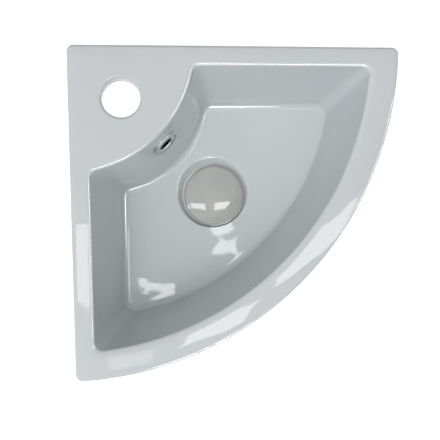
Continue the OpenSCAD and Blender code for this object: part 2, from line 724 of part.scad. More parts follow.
module stem_lock_nut() {
    color([0.72, 0.74, 0.76]) at_drain() translate([0, 0, lock_nut_z]) difference() {
        cylinder(h = lock_nut_h, r = lock_nut_af / 2 / cos(30), $fn = 6);
        translate([0, 0, -overrun]) cylinder(h = lock_nut_h + 2 * overrun, r = stem_r + thread_gap / 2);
    }
}

// Plate under the cap, with its spigot above, its boss below and the lip that keeps the seal
module plug_carrier() {
    stem_hole = stem_r + thread_gap / 2;
    color([0.7, 0.72, 0.74]) at_drain() difference() {
        union() {
            translate([0, 0, carrier_z]) cylinder(h = carrier_t, r = carrier_core_r);
            translate([0, 0, carrier_z]) cylinder(h = carrier_lip_t, r = carrier_core_r + carrier_lip_w);
            translate([0, 0, carrier_boss_z])
                cylinder(h = carrier_boss_h + carrier_t / 2, r = carrier_boss_r);
            translate([0, 0, carrier_z]) cylinder(h = carrier_t + spigot_h, r = spigot_r);
        }
        translate([0, 0, carrier_boss_z - overrun])
            cylinder(h = cap_z + spigot_h / 2 - carrier_boss_z + overrun, r = stem_hole);
    }
}

module plug_seal() {
    color([0.08, 0.08, 0.08]) drain_ring(seal_z, carrier_t - carrier_lip_t, carrier_core_r, seal_r);
}

// Domed ceramic cap with a socket for the carrier's spigot
module plug_cap() {
    r = cap_d / 2;
    top_z = cap_z + cap_edge_h;
    dome_edge_r = r - cap_edge_r;
    dome_r = (pow(dome_edge_r, 2) + pow(cap_dome_h, 2)) / (2 * cap_dome_h);
    dome_a = asin(dome_edge_r / dome_r);
    dome = [for (i = [0 : far_steps]) let (a = dome_a * (1 - i / far_steps))
        [dome_r * sin(a), top_z + cap_dome_h - dome_r * (1 - cos(a))]];
    rounding = arc([dome_edge_r, top_z - cap_edge_r], cap_edge_r, 0, 90 - dome_a, fillet_steps);
    color([0.68, 0.68, 0.66]) at_drain() difference() {
        rotate_extrude() polygon(concat([[0, cap_z], [r - cap_edge_r / 2, cap_z],
            [r, cap_z + cap_edge_r / 2]], rounding, dome));
        translate([0, 0, cap_z - overrun]) cylinder(h = spigot_h + overrun, r = spigot_r);
    }
}

basin_body();
overflow_ring();
overflow_sleeve();
waste_body();
flange_gasket();
taper_seal();
slip_washer();
back_nut();
latch_barrel();
barrel_cap();
latch_spring();
latch_rotor();
push_stem();
stem_lock_nut();
plug_carrier();
plug_seal();
plug_cap();
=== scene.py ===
"""Looks of a quarter-round corner basin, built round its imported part.

The ceramic casting, the overflow ring, the waste with its thread, nut, seal and washer, the domed
cap and the latch's spring are made anew here, each in the place of its plain solid; the thread
belongs to the waste. Every other solid keeps its own mesh and gets its finish. All lengths are in
metres, in the frame of the part: the origin is the corner of the two walls at the height of the
deck, +X runs along the back wall, -Y along the left wall and +Z up.
"""

import logging
import math
from collections.abc import Iterable, Sequence
from dataclasses import astuple, dataclass, field
from enum import Enum, IntEnum
from functools import cached_property

import bmesh
import bpy
from bmesh.types import BMEdge, BMesh, BMVert
from bpy.types import Material, Node, NodeSocket, Object, World
from mathutils import Matrix, Vector


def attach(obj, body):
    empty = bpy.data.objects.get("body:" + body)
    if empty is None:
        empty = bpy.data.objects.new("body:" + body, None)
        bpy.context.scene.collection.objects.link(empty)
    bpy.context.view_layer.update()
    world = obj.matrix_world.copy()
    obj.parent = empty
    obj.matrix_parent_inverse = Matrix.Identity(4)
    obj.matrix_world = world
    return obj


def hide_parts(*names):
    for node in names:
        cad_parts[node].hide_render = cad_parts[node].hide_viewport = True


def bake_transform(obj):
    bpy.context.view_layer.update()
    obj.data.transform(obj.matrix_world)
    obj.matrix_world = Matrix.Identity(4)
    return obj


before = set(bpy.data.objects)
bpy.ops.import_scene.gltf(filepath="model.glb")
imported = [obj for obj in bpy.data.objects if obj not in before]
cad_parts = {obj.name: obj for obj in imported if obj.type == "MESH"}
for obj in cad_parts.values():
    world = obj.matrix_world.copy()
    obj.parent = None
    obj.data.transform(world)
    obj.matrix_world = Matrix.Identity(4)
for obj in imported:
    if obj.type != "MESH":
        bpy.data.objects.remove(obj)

LOG = logging.getLogger("corner_basin")
ROOT2 = math.sqrt(2.0)
MERGE = 1e-7
DIAGONAL = Matrix.Rotation(math.radians(-45), 4, "Z")
WALL_BODY = "basin"
PLUG_BODY = "plug"
CASTING_PIECE = "glazed_basin"
CAP_PIECE = "plug_dome"

Point = tuple[float, float]
Ring = list[Vector]
Colour = tuple[float, float, float, float]
Sockets = dict[str | int, object]


class Cut(Enum):
    """What a tool solid does to the solid that it meets."""

    JOIN = "UNION"
    CARVE = "DIFFERENCE"


class Round(IntEnum):
    """Steps in the full turn of a solid of revolution, more for what shows large."""

    BOLT = 48
    HOLE = 72
    USUAL = 96
    LARGE = 120
    DOME = 144


# --------------------------------------------------------------------------- meshes


def arc(centre: Point, radius: float, start: float, end: float, steps: int) -> list[Point]:
    """Points on an arc in a plane.

    Args:
        centre: Centre of the arc.
        radius: Radius of the arc.
        start: First angle, in degrees.
        end: Last angle, in degrees.
        steps: Number of stretches between the two ends.

    Returns:
        steps + 1 points, both ends among them.
    """
    angles = [math.radians(start + (end - start) * i / steps) for i in range(steps + 1)]
    return [(centre[0] + radius * math.cos(a), centre[1] + radius * math.sin(a)) for a in angles]


def mirrored(half: list[Point]) -> list[Point]:
    """A closed outline in plan, from its half on one side of the diagonal."""
    return [(u, -v) for u, v in half + [(v, u) for u, v in half[-2:0:-1]]]


def verts_of(made: dict) -> list[BMVert]:
    """The vertices among the geometry that an operator returns."""
    return [g for g in made["geom"] if isinstance(g, BMVert)]


def loft(rings: Sequence[Ring]) -> BMesh:
    """A closed solid whose skin runs through rings of equal length.

    Args:
        rings: Rings in order, each with its points in the same order.

    Returns:
        The solid, with both end rings filled and its faces turned outwards.
    """
    bm = bmesh.new()
    loop = bmesh.ops.create_circle(bm, cap_ends=False, segments=len(rings[0]), radius=1.0)["verts"]
    for vert, point in zip(loop, rings[0]):
        vert.co = point
    first = edges = bm.edges[:]
    for ring in rings[1:]:
        made = bmesh.ops.extrude_edge_only(bm, edges=edges)
        fresh = set(verts_of(made))
        across = [[e.other_vert(v) for e in v.link_edges] for v in loop]
        loop = [next(v for v in ends if v in fresh) for ends in across]
        for vert, point in zip(loop, ring):
            vert.co = point
        edges = [g for g in made["geom"] if isinstance(g, BMEdge) and set(g.verts) <= fresh]
    bmesh.ops.edgeloop_fill(bm, edges=first)
    bmesh.ops.edgeloop_fill(bm, edges=edges)
    bmesh.ops.recalc_face_normals(bm, faces=bm.faces)
    return bm


def quarter(steps: int) -> list[Point]:
    """Shares (1 - sin, 1 - cos) at even steps of a quarter turn, both ends among them."""
    angles = [math.radians(90 * i / steps) for i in range(steps + 1)]
    return [(1 - math.sin(a), 1 - math.cos(a)) for a in angles]


def wind(bm: BMesh, geom: list, turns: int, steps: int, rise: float = 0.0) -> None:
    """Sweeps geometry about the Z axis and turns the faces outwards.

    Args:
        bm: Mesh that holds it.
        geom: What is swept.
        turns: Number of full turns.
        steps: Steps in each turn.
        rise: Climb of each turn; without one the sweep closes on itself.
    """
    bmesh.ops.spin(
        bm,
        geom=geom,
        cent=(0, 0, 0),
        axis=(0, 0, 1),
        dvec=(0, 0, rise / steps),
        angle=math.tau * turns,
        steps=steps * turns,
        use_merge=not rise,
        use_normal_flip=False,
        use_duplicate=False,
    )
    if not rise:
        bmesh.ops.remove_doubles(bm, verts=bm.verts, dist=MERGE)
        bmesh.ops.dissolve_degenerate(bm, edges=bm.edges, dist=MERGE / 10)
    bmesh.ops.recalc_face_normals(bm, faces=bm.faces)


def block(size: Sequence[float]) -> BMesh:
    """A box of the given size round the origin.

    Args:
        size: Its size along each axis.

    Returns:
        The box.
    """
    bm = bmesh.new()
    bmesh.ops.create_cube(bm, size=1.0)
    bmesh.ops.scale(bm, verts=bm.verts, vec=size)
    return bm


def prism(radius: float, height: float, sides: int, closed: bool) -> BMesh:
    """An upright prism round the origin, with or without its two ends.

    Args:
        radius: Radius to its corners.
        height: Its height.
        sides: Number of its sides.
        closed: Whether its two ends are there.

    Returns:
        The prism.
    """
    bm, radii = bmesh.new(), {"radius1": radius, "radius2": radius}
    bmesh.ops.create_cone(bm, cap_ends=closed, segments=sides, depth=height, **radii)
    return bm


def turned(profile: Sequence[Point], steps: Round, place: Matrix | None = None) -> BMesh:
    """A solid of revolution about the Z axis.

    Args:
        profile: Points as (radius, height), in order; it closes unless both ends are on the axis.
        steps: Its steps in the full turn.
        place: Frame in which the solid stands.

    Returns:
        The solid, with its seam and its poles merged and its faces turned outwards.
    """
    bm = bmesh.new()
    verts = [bm.verts.new((r, 0.0, z)) for r, z in profile]
    closed = profile[0][0] > 0.0 or profile[-1][0] > 0.0
    pairs = list(zip(verts, verts[1:])) + ([(verts[-1], verts[0])] if closed else [])
    edges = [bm.edges.new(pair) for pair in pairs]
    wind(bm, verts + edges, 1, steps)
    return moved(bm, place) if place else bm


def plate(outline: Sequence[Point], width: float) -> BMesh:
    """A plate that stands in the XZ plane, centred on it.

    Args:
        outline: Points as (x, z).
        width: Thickness along Y.

    Returns:
        The plate as a closed solid.
    """
    bm = bmesh.new()
    face = bm.faces.new([bm.verts.new((x, -width / 2, z)) for x, z in outline])
    made = bmesh.ops.extrude_face_region(bm, geom=[face])
    bmesh.ops.translate(bm, verts=verts_of(made), vec=(0, width, 0))
    bmesh.ops.recalc_face_normals(bm, faces=bm.faces)
    return bm


def edges_along(bm: BMesh, axis: int, length: float) -> list[BMEdge]:
    """The edges that run further than a length along an axis."""
    return [e for e in bm.edges if abs((e.verts[0].co - e.verts[1].co)[axis]) > length]


def soften(bm: BMesh, edges: Iterable[BMEdge], width: float, segments: int = 3) -> None:
    """Rounds the given edges of a mesh.

    Args:
        bm: The mesh.
        edges: Edges to round.
        width: Width of the rounding.
        segments: Number of strips across it.
    """
    bmesh.ops.bevel(
        bm,
        geom=list(edges),
        offset=width,
        offset_type="OFFSET",
        affect="EDGES",
        segments=segments,
        profile=0.5,
        material=-1,
        clamp_overlap=True,
    )


def moved(bm: BMesh, matrix: Matrix) -> BMesh:
    """The same mesh after a move or a turn."""
    bmesh.ops.transform(bm, matrix=matrix, verts=bm.verts)
    return bm


def as_object(bm: BMesh, name: str) -> Object:
    """Puts a mesh into the scene as an object at the origin.

    Args:
        bm: The mesh, which is freed.
        name: Name of the piece.

    Returns:
        The object.
    """
    mesh = bpy.data.meshes.new(name)
    bm.to_mesh(mesh)
    bm.free()
    made = bpy.data.objects.new(name, mesh)
    bpy.context.scene.collection.objects.link(made)
    return made


def settle(piece: Object) -> None:
    """Turns a piece's modifiers into its mesh.

    Args:
        piece: The piece.
    """
    graph = bpy.context.evaluated_depsgraph_get()
    mesh = bpy.data.meshes.new_from_object(piece.evaluated_get(graph))
    old = piece.data
    piece.modifiers.clear()
    piece.data = mesh
    bpy.data.meshes.remove(old)


def discard(piece: Object) -> None:
    """Takes a piece and its mesh out of the file.

    Args:
        piece: The piece.
    """
    mesh = piece.data
    bpy.data.objects.remove(piece, do_unlink=True)
    bpy.data.meshes.remove(mesh)


def meet(piece: Object, tool: BMesh, cut: Cut) -> None:
    """Joins a tool solid to a piece, or carves it out of the piece.

    Args:
        piece: The piece that is changed.
        tool: The tool solid, which is used up.
        cut: What the tool does.
    """
    helper = as_object(tool, piece.name + "_tool")
    modifier = piece.modifiers.new(cut.name.lower(), "BOOLEAN")
    modifier.operation = cut.value
    modifier.solver = "EXACT"
    modifier.object = helper
    settle(piece)
    discard(helper)


def smooth(piece: Object, sharp_degrees: float = 32.0) -> None:
    """Shades a piece smoothly between its sharp edges, with flat faces kept flat.

    Args:
        piece: The piece.
        sharp_degrees: Angle between two faces from which their edge stays sharp.
    """
    piece.data.shade_smooth()
    piece.data.set_sharp_from_angle(angle=math.radians(sharp_degrees))
    modifier = piece.modifiers.new("even_normals", "WEIGHTED_NORMAL")
    modifier.mode = "FACE_AREA"
    modifier.weight = 50
    modifier.keep_sharp = True


# --------------------------------------------------------------------------- sizes


@dataclass(frozen=True)
class BowlSection:
    """The six sizes of one closed outline of the bowl, symmetric about the diagonal."""

    rim: float
    near_radius: float
    near_shift: float
    far_radius: float
    far_shift: float
    corner: float

    def toward(self, other: "BowlSection", share: float) -> "BowlSection":
        """The section at a share of the way to another one."""
        return BowlSection(*(a + (b - a) * share for a, b in zip(astuple(self), astuple(other))))

    def grown(self, margin: float, ahead: float) -> "BowlSection":
        """The section grown outwards by a margin, and by another along the front.

        Args:
            margin: How far its sides and near end move out.
            ahead: How far its front moves out.

        Returns:
            The larger section.
        """
        return BowlSection(
            self.rim - margin,
            self.near_radius - margin,
            self.near_shift,
            self.far_radius + ahead,
            self.far_shift,
            self.corner + margin,
        )

    def outline(self, steps: tuple[int, int, int, int]) -> list[Point]:
        """Plan points of the whole outline.

        Args:
            steps: Stretches on the near arc, a corner, a side and the far arc.

        Returns:
            Points as (x, y), from the platform on the diagonal round by the left wall.
        """
        near_steps, corner_steps, side_steps, far_steps = steps
        c, near, far = self.rim + self.corner, self.near_shift, self.far_shift
        near_v = near + math.sqrt((self.near_radius + self.corner) ** 2 - (c - near) ** 2)
        far_v = far + math.sqrt((self.far_radius - self.corner) ** 2 - (c - far) ** 2)
        near_a = math.degrees(math.atan2(near_v - near, c - near))
        far_a = math.degrees(math.atan2(far_v - far, c - far))
        half = arc((near, near), self.near_radius, 45, near_a, near_steps)[:-1]
        half += arc((c, near_v), self.corner, near_a + 180, 180, corner_steps)
        for i in range(1, side_steps + 1):
            half.append((self.rim, near_v + (far_v - near_v) * i / (side_steps + 1)))
        half += arc((c, far_v), self.corner, 180, far_a, corner_steps)
        half += arc((far, far), self.far_radius, far_a, 45, far_steps)[1:]
        return mirrored(half)


@dataclass(frozen=True)
class BasinSizes:
    """Sizes of the ceramic, after the part's; recess lean, brim and shares suit the photo."""

    side: float = 0.3035
    height: float = 0.125
    draft: float = 0.012
    corner: float = 0.006
    edge: float = 0.0035
    crown: float = 0.0005
    crown_width: float = 0.014
    foot: float = 0.007
    side_rim: float = 0.0175
    front_rim: float = 0.027
    platform: float = 0.1125
    mouth_corner: float = 0.0075
    lip: float = 0.003
    front_lip: float = 0.0065
    depth: float = 0.100
    floor_slope: float = 1.6
    side_lean: float = 0.0257
    platform_lean: float = 0.0295
    front_lean: float = 0.0076
    near_shift: float = 0.0275
    far_shift: float = 0.017
    floor_corner: float = 0.013
    floor_fillet: float = 0.006
    wall: float = 0.009
    floor_wall: float = 0.009
    deck: float = 0.014
    panel: float = 0.010
    cast_round: float = 0.004
    foot_rim: float = 0.024
    haunch: float = 0.006
    haunch_height: float = 0.026
    tap_radius: float = 0.0175
    tap_inset: float = 0.0465
    tap_pad: float = 0.022
    tap_pad_width: float = 0.008
    tap_pad_round: float = 0.002
    tap_edge: float = 0.0025
    fixing_radius: float = 0.007
    fixing_inset: float = 0.080
    fixing_drop: float = 0.062
    drain_inset: float = 0.1385
    drain_radius: float = 0.023
    drain_edge: float = 0.0008
    drain_flare: float = 0.0018
    recess_seat: float = 0.033
    recess_depth: float = 0.006
    recess_lean: float = 36.0
    recess_fillet: float = 0.0025
    recess_brim: float = 0.008
    recess_share: tuple[float, float, float] = (0.5, -0.12, 0.4)
    boss_top: float = 0.042
    boss_foot: float = 0.036
    boss_height: float = 0.019
    boss_round: float = 0.002
    boss_draw: float = 0.0015
    overflow_drop: float = 0.028
    overflow_radius: float = 0.0115
    passage_width: float = 0.026
    passage_depth: float = 0.009
    passage_cover: float = 0.007
    passage_wall: float = 0.005
    passage_round: float = 0.004
    ring_seat: float = 0.001
    ring_radius: float = 0.014
    ring_open: float = 0.007
    ring_face: float = 0.0036
    ring_edge: float = 0.0008
    ring_tube_length: float = 0.009
    seat_play: float = 0.00015

    @property
    def mouth(self) -> BowlSection:
        """Outline of the bowl at the deck."""
        far = self.side - self.front_rim
        return BowlSection(self.side_rim, self.platform, 0.0, far, 0.0, self.mouth_corner)

    @property
    def bottom(self) -> BowlSection:
        """Outline of the bowl at its floor, before the floor's rounding."""
        near = self.platform + self.platform_lean - ROOT2 * self.near_shift
        far = self.side - self.front_rim - self.front_lean - ROOT2 * self.far_shift
        rim, corner = self.side_rim + self.side_lean, self.floor_corner
        return BowlSection(rim, near, self.near_shift, far, self.far_shift, corner)

    @property
    def seat_z(self) -> float:
        """Height of the waste's seat."""
        return -self.depth - self.recess_depth

    @property
    def underside_z(self) -> float:
        """Height of the floor's lower face."""
        return -self.depth - self.floor_wall

    @property
    def boss_z(self) -> float:
        """Height of the drain boss's lower face."""
        return self.underside_z - self.boss_height

    @property
    def roof_z(self) -> float:
        """Height of the overflow passage's roof under the floor."""
        return self.seat_z - self.passage_wall

    @property
    def recess_rim(self) -> float:
        """Radius at which the recess leaves the floor."""
        lean, rounds = math.radians(self.recess_lean), self.recess_fillet + self.recess_brim
        side = self.recess_depth - rounds * (1 - math.cos(lean))
        return self.recess_seat + rounds * math.sin(lean) + side / math.tan(lean)

    @property
    def drain(self) -> Vector:
        """Place of the drain in plan."""
        return Vector((self.drain_inset, -self.drain_inset, 0.0))

    @property
    def platform_angle(self) -> float:
        """Lean of the platform wall from upright, in radians."""
        return math.atan2(self.platform_lean, self.depth)

    def at_drain(self, z: float = 0.0) -> Matrix:
        """Frame of the drain at a height."""
        return Matrix.Translation(self.drain + Vector((0, 0, z)))

    def at_overflow(self) -> Matrix:
        """Frame of the overflow hole: its origin on the platform wall, +Z out of the wall.

        Returns:
            The frame.
        """
        reach = self.platform + self.platform_lean * self.overflow_drop / self.depth
        return (
            Matrix.Translation((reach / ROOT2, -reach / ROOT2, -self.overflow_drop))
            @ DIAGONAL
            @ Matrix.Rotation(math.pi / 2 - self.platform_angle, 4, "Y")
        )


SIZES = BasinSizes()


# --------------------------------------------------------------------------- ceramic


@dataclass
class GlazedCasting:
    """The one ceramic casting: deck, bowl, skirt, wall panels, drain boss and overflow passage."""

    sizes: BasinSizes = SIZES
    steps: tuple[int, int, int, int] = (22, 12, 8, 44)
    rounding_steps: int = 8
    front_steps: int = 60
    small_steps: int = 5
    wall_rows: tuple[float, ...] = (0.2, 0.35, 0.5, 0.65, 0.8)
    floor_rows: tuple[float, ...] = (0.08, 0.2, 0.4, 0.6, 0.8, 0.93)
    overrun: float = 0.001

    def bowl_ring(
        self, depth_z: float, margin: float, z: float, ahead: float | None = None
    ) -> Ring:
        """A ring of the bowl.

        Args:
            depth_z: Height whose outline is taken.
            margin: How far it is grown outwards.
            z: Height of the ring itself.
            ahead: How far it is grown along the front, if not by the margin.

        Returns:
            The ring's points.
        """
        s = self.sizes
        share = min(1.0, max(0.0, -depth_z / s.depth))
        section = s.mouth.toward(s.bottom, share).grown(margin, margin if ahead is None else ahead)
        return [Vector((x, y, z)) for x, y in section.outline(self.steps)]

    def quarter_ring(self, radius: float, inset: float, z: float) -> Ring:
        """A ring of the quarter disc.

        Args:
            radius: Reach of the round front.
            inset: How far the two sides are drawn in from the walls.
            z: Height of the ring.

        Returns:
            The ring's points.
        """
        rho, n = self.sizes.corner, self.rounding_steps
        c = inset + rho
        e = math.sqrt((radius - rho) ** 2 - c**2)
        end = math.degrees(math.atan2(e, c))
        half = arc((c, c), rho, 225, 180, n) + arc((c, e), rho, 180, end, n)
        half += arc((0.0, 0.0), radius, end, 45, self.front_steps)[1:]
        return [Vector((u, v, z)) for u, v in mirrored(half)]

    def front_at(self, z: float) -> float:
        """Reach of the front at a height."""
        return self.sizes.side + self.sizes.draft * z / self.sizes.height

    def outer_form(self) -> BMesh:
        """The quarter block with its crowned deck, rounded upper edge and rounded foot.

        Returns:
            The solid.
        """
        s, n = self.sizes, self.rounding_steps
        lean = math.atan(2 * s.crown / s.crown_width)
        centre = (s.edge, -s.crown - s.edge * math.cos(lean))
        edge = arc(centre, s.edge, 90 + math.degrees(lean), 180, n)
        border = edge[0][0]
        deck = [(border + s.crown_width * (1 - i / n), -s.crown * (i / n) ** 2) for i in range(n)]
        rings = [self.quarter_ring(self.front_at(z) - draw, draw, z) for draw, z in deck + edge]
        rings.append(self.quarter_ring(self.front_at(-s.height / 2), 0.0, -s.height / 2))
        for rise, draw in quarter(n):
            z = -s.height + s.foot * rise
            rings.append(self.quarter_ring(self.front_at(z) - s.foot * draw, 0.0, z))
        return loft(rings)

    def underside_space(self) -> BMesh:
        """The hollow below the deck, with cast roundings where it meets deck and foot.

        Returns:
            The solid that is carved out.
        """
        s, n = self.sizes, self.rounding_steps
        reach, r = s.side - s.draft - s.foot_rim, s.cast_round
        rings = []
        for share, drop in quarter(n):
            draw = r * share
            rings.append(self.quarter_ring(reach - draw, s.panel + draw, -s.deck - r * drop))
        rings.append(self.quarter_ring(reach, s.panel, -s.height - self.overrun))
        return loft(rings)

    def bowl_block(self) -> BMesh:
        """Walls and floor of the bowl as a block, thicker just under the deck.

        Returns:
            The solid.
        """
        s, n = self.sizes, self.rounding_steps
        outer = s.floor_fillet + s.floor_wall
        thick = s.wall + min(s.haunch, s.side_rim - s.wall - self.overrun / 2)
        rings = [
            self.bowl_ring(-s.edge, thick - s.lip, -s.edge),
            self.bowl_ring(-s.deck, thick, -s.deck),
            self.bowl_ring(-s.deck - s.haunch_height, s.wall, -s.deck - s.haunch_height),
        ]
        for rise, draw in quarter(n):
            z = s.underside_z + outer * rise
            rings.append(self.bowl_ring(z, s.wall - outer * draw, z))
        return loft(rings)

    def floor_z(self, point: Vector) -> float:
        """Height of the falling floor at a plan point.

        Args:
            point: The plan point.

        Returns:
            The height.
        """
        s = self.sizes
        reach = (point.xy - s.drain.xy).length - s.recess_rim
        return -s.depth + math.tan(math.radians(s.floor_slope)) * max(0.0, reach)

    def drain_ring(self, edge: Ring, radius: float, z: float) -> Ring:
        """A circle round the drain whose points face those of the floor's edge.

        Args:
            edge: Points of the floor's edge.
            radius: Radius of the circle.
            z: Its height.

        Returns:
            The circle.
        """
        drain = self.sizes.drain
        spots = [(p.xy - drain.xy).normalized() * radius + drain.xy for p in edge]
        return [Vector((q.x, q.y, z)) for q in spots]

    def tighten(self, ring: list[Vector]) -> None:
        """Draws the recess in at the front and right of the drain, where it is then steepest.

        Args:
            ring: Points round the drain, moved in place.
        """
        s = self.sizes
        usual, along_x, along_y = s.recess_share
        for p in ring:
            out = p.xy - s.drain.xy
            over = out.length - s.recess_seat
            if over > 0.0:
                share = usual + (along_x * out.x + along_y * out.y) / out.length
                p.xy = s.drain.xy + out.normalized() * (s.recess_seat + over * share)

    def bowl_space(self) -> BMesh:
        """The room of the bowl, on down through its recess and its drain hole.

        Returns:
            The solid that is carved out.
        """
        s, n = self.sizes, self.rounding_steps
        rings = [self.bowl_ring(0.0, s.lip, self.overrun, s.front_lip)]
        for share, drop in quarter(n):
            z = -s.lip * drop
            rings.append(self.bowl_ring(z, s.lip * share, z, s.front_lip * share))
        for share in self.wall_rows:
            z = -s.lip + (s.floor_fillet - s.depth + s.lip) * share
            rings.append(self.bowl_ring(z, 0.0, z))
        for rise, draw in quarter(n + 2):
            z = -s.depth + s.floor_fillet * rise
            ring = self.bowl_ring(z, -s.floor_fillet * draw, z)
            for p in ring:
                p.z += (self.floor_z(p) + s.depth) * (1 - rise)
            rings.append(ring)
        edge = rings[-1]
        rim = self.drain_ring(edge, s.recess_rim, -s.depth)
        self.tighten(rim)
        for share in self.floor_rows:
            ring = [p.lerp(q, share) for p, q in zip(edge, rim)]
            for p in ring:
                p.z = self.floor_z(p)
            rings.append(ring)
        brim, fillet, lean = s.recess_brim, s.recess_fillet, s.recess_lean
        profile = arc((s.recess_rim, -s.depth - brim), brim, 90, 90 + lean, n)
        profile += arc((s.recess_seat, s.seat_z + fillet), fillet, lean - 90, -90, n)
        hole, e = s.drain_radius, s.drain_edge
        profile += [(hole + e, s.seat_z), (hole, s.seat_z - e), (hole, s.boss_z + e)]
        profile += [(hole + s.drain_flare, s.boss_z - self.overrun)]
        rings += [self.drain_ring(edge, r, z) for r, z in profile]
        for ring in rings[-len(profile) :]:
            self.tighten(ring)
        return loft(rings)

    def boss(self) -> BMesh:
        """The drain boss under the floor.

        Returns:
            The solid.
        """
        s, r = self.sizes, self.sizes.boss_round
        top = s.seat_z - self.overrun / 2
        slope = (s.boss_top - s.boss_foot) / s.boss_height
        foot = arc((s.boss_foot - s.boss_draw, s.boss_z + r), r, -90, -10, self.small_steps)
        profile = [(0.0, top), (s.boss_foot + slope * (top - s.boss_z), top)]
        return turned(profile + foot[::-1] + [(0.0, s.boss_z)], Round.LARGE, s.at_drain())

    def passage(self, top: float, wall: float, cover: float, width: float) -> BMesh:
        """The overflow passage, or the block round it.

        Args:
            top: Height of its upper end.
            wall: How much thicker it is at the back and below.
            cover: How far it reaches into the bowl's wall.
            width: Width across the diagonal.

        Returns:
            The solid, standing on the diagonal.
        """
        s = self.sizes
        low = s.roof_z - s.passage_depth - wall
        roof = s.roof_z + cover

        cover_back = s.passage_cover / math.cos(s.platform_angle)

        def face(z: float) -> float:
            """Reach of the passage's front at a height."""
            return s.platform - s.platform_lean * z / s.depth - cover_back

        back, end = s.passage_depth + wall, ROOT2 * s.drain_inset
        outline = [(face(top) - back, top), (face(top) + cover, top), (face(roof) + cover, roof)]
        outline += [(end, roof), (end, low), (face(low) - back, low)]
        bm = plate(outline, width)
        if wall:
            soften(bm, [e for e in bm.edges if self.outside_edge(e)], s.passage_round, 4)
        return moved(bm, DIAGONAL)

    def outside_edge(self, edge: BMEdge) -> bool:
        """Whether an edge of the passage's block shows under the basin.

        Args:
            edge: The edge.

        Returns:
            True if it shows.
        """
        s = self.sizes
        low = all(v.co.z < s.underside_z - self.overrun for v in edge.verts)
        return low or all(v.co.x < s.platform - self.overrun / 2 for v in edge.verts)

    def build(self) -> Object:
        """Builds the whole casting.

        Returns:
            The piece, named glazed_basin.
        """
        s, over = self.sizes, self.overrun
        piece = as_object(self.outer_form(), CASTING_PIECE)
        meet(piece, self.underside_space(), Cut.CARVE)
        meet(piece, self.bowl_block(), Cut.JOIN)
        pad_r, low, r = s.tap_radius + s.tap_pad_width, -s.tap_pad, s.tap_pad_round
        pad = [(0.0, -s.edge), (pad_r, -s.edge), (pad_r, low + r)]
        pad += arc((pad_r - r, low + r), r, 0, -90, self.small_steps)[1:] + [(0.0, low)]
        tap = Matrix.Translation((s.tap_inset, -s.tap_inset, 0.0))
        meet(piece, turned(pad, Round.USUAL, tap), Cut.JOIN)
        cover, width = s.passage_cover - 0.4 * over, s.passage_width + 2 * s.passage_wall
        meet(piece, self.passage(-s.deck / 2, s.passage_wall, cover, width), Cut.JOIN)
        meet(piece, self.boss(), Cut.JOIN)
        meet(piece, self.bowl_space(), Cut.CARVE)
        top = -s.overflow_drop + s.overflow_radius - s.passage_depth / 2
        meet(piece, self.passage(top, 0.0, 0.0, s.passage_width), Cut.CARVE)
        hole_end, seat_r = -s.wall - s.passage_depth / 2, s.ring_radius + s.seat_play
        hole = [(0.0, hole_end), (s.overflow_radius, hole_end), (s.overflow_radius, -s.ring_seat)]
        hole += [(seat_r, -s.ring_seat), (seat_r, s.ring_face), (0.0, s.ring_face)]
        meet(piece, turned(hole, Round.HOLE, s.at_overflow()), Cut.CARVE)
        mouth = s.tap_radius + s.tap_edge
        cutter = [(0.0, low - over), (s.tap_radius, low - over)]
        cutter += arc((mouth, -s.tap_edge), s.tap_edge, 180, 90, self.rounding_steps)
        cutter += [(mouth, over), (0.0, over)]
        meet(piece, turned(cutter, Round.LARGE, tap), Cut.CARVE)
        r, near, far = s.fixing_radius, -2 * over, s.panel + 2 * over
        bolt = [(0.0, near), (r, near), (r, far), (0.0, far)]
        for x, y, axis in ((s.fixing_inset, 0.0, "X"), (0.0, -s.fixing_inset, "Y")):
            turn = Matrix.Rotation(math.pi / 2, 4, axis)
            place = Matrix.Translation((x, y, -s.fixing_drop)) @ turn
            meet(piece, turned(bolt, Round.BOLT, place), Cut.CARVE)
        return piece


# --------------------------------------------------------------------------- trim and waste


@dataclass
class OverflowTrim:
    """The plated ring with its tube, pressed into the platform wall of the bowl."""

    sizes: BasinSizes = SIZES
    sleeve_radius: float = 0.0082
    rounding_steps: int = 7
    foot_steps: int = 3

    def build(self) -> Object:
        """Builds the ring.

        Returns:
            The piece, named overflow_trim.
        """
        s, n = self.sizes, self.rounding_steps
        r, inner, e, end = s.ring_radius, s.ring_open, s.ring_edge, -s.ring_tube_length
        foot = arc((r - e / 2, e / 2), e / 2, -90, 0, self.foot_steps)
        face = arc((r - e, s.ring_face - e), e, 0, 90, n)
        mouth = arc((inner + 2 * e, s.ring_face - 2 * e), 2 * e, 90, 180, n)
        tube = [(inner, end), (self.sleeve_radius, end), (self.sleeve_radius, 0.0)]
        place = s.at_overflow() @ Matrix.Translation((0, 0, -s.ring_seat))
        bm = turned(tube + foot + face + mouth, Round.USUAL, place)
        return as_object(bm, "overflow_trim")


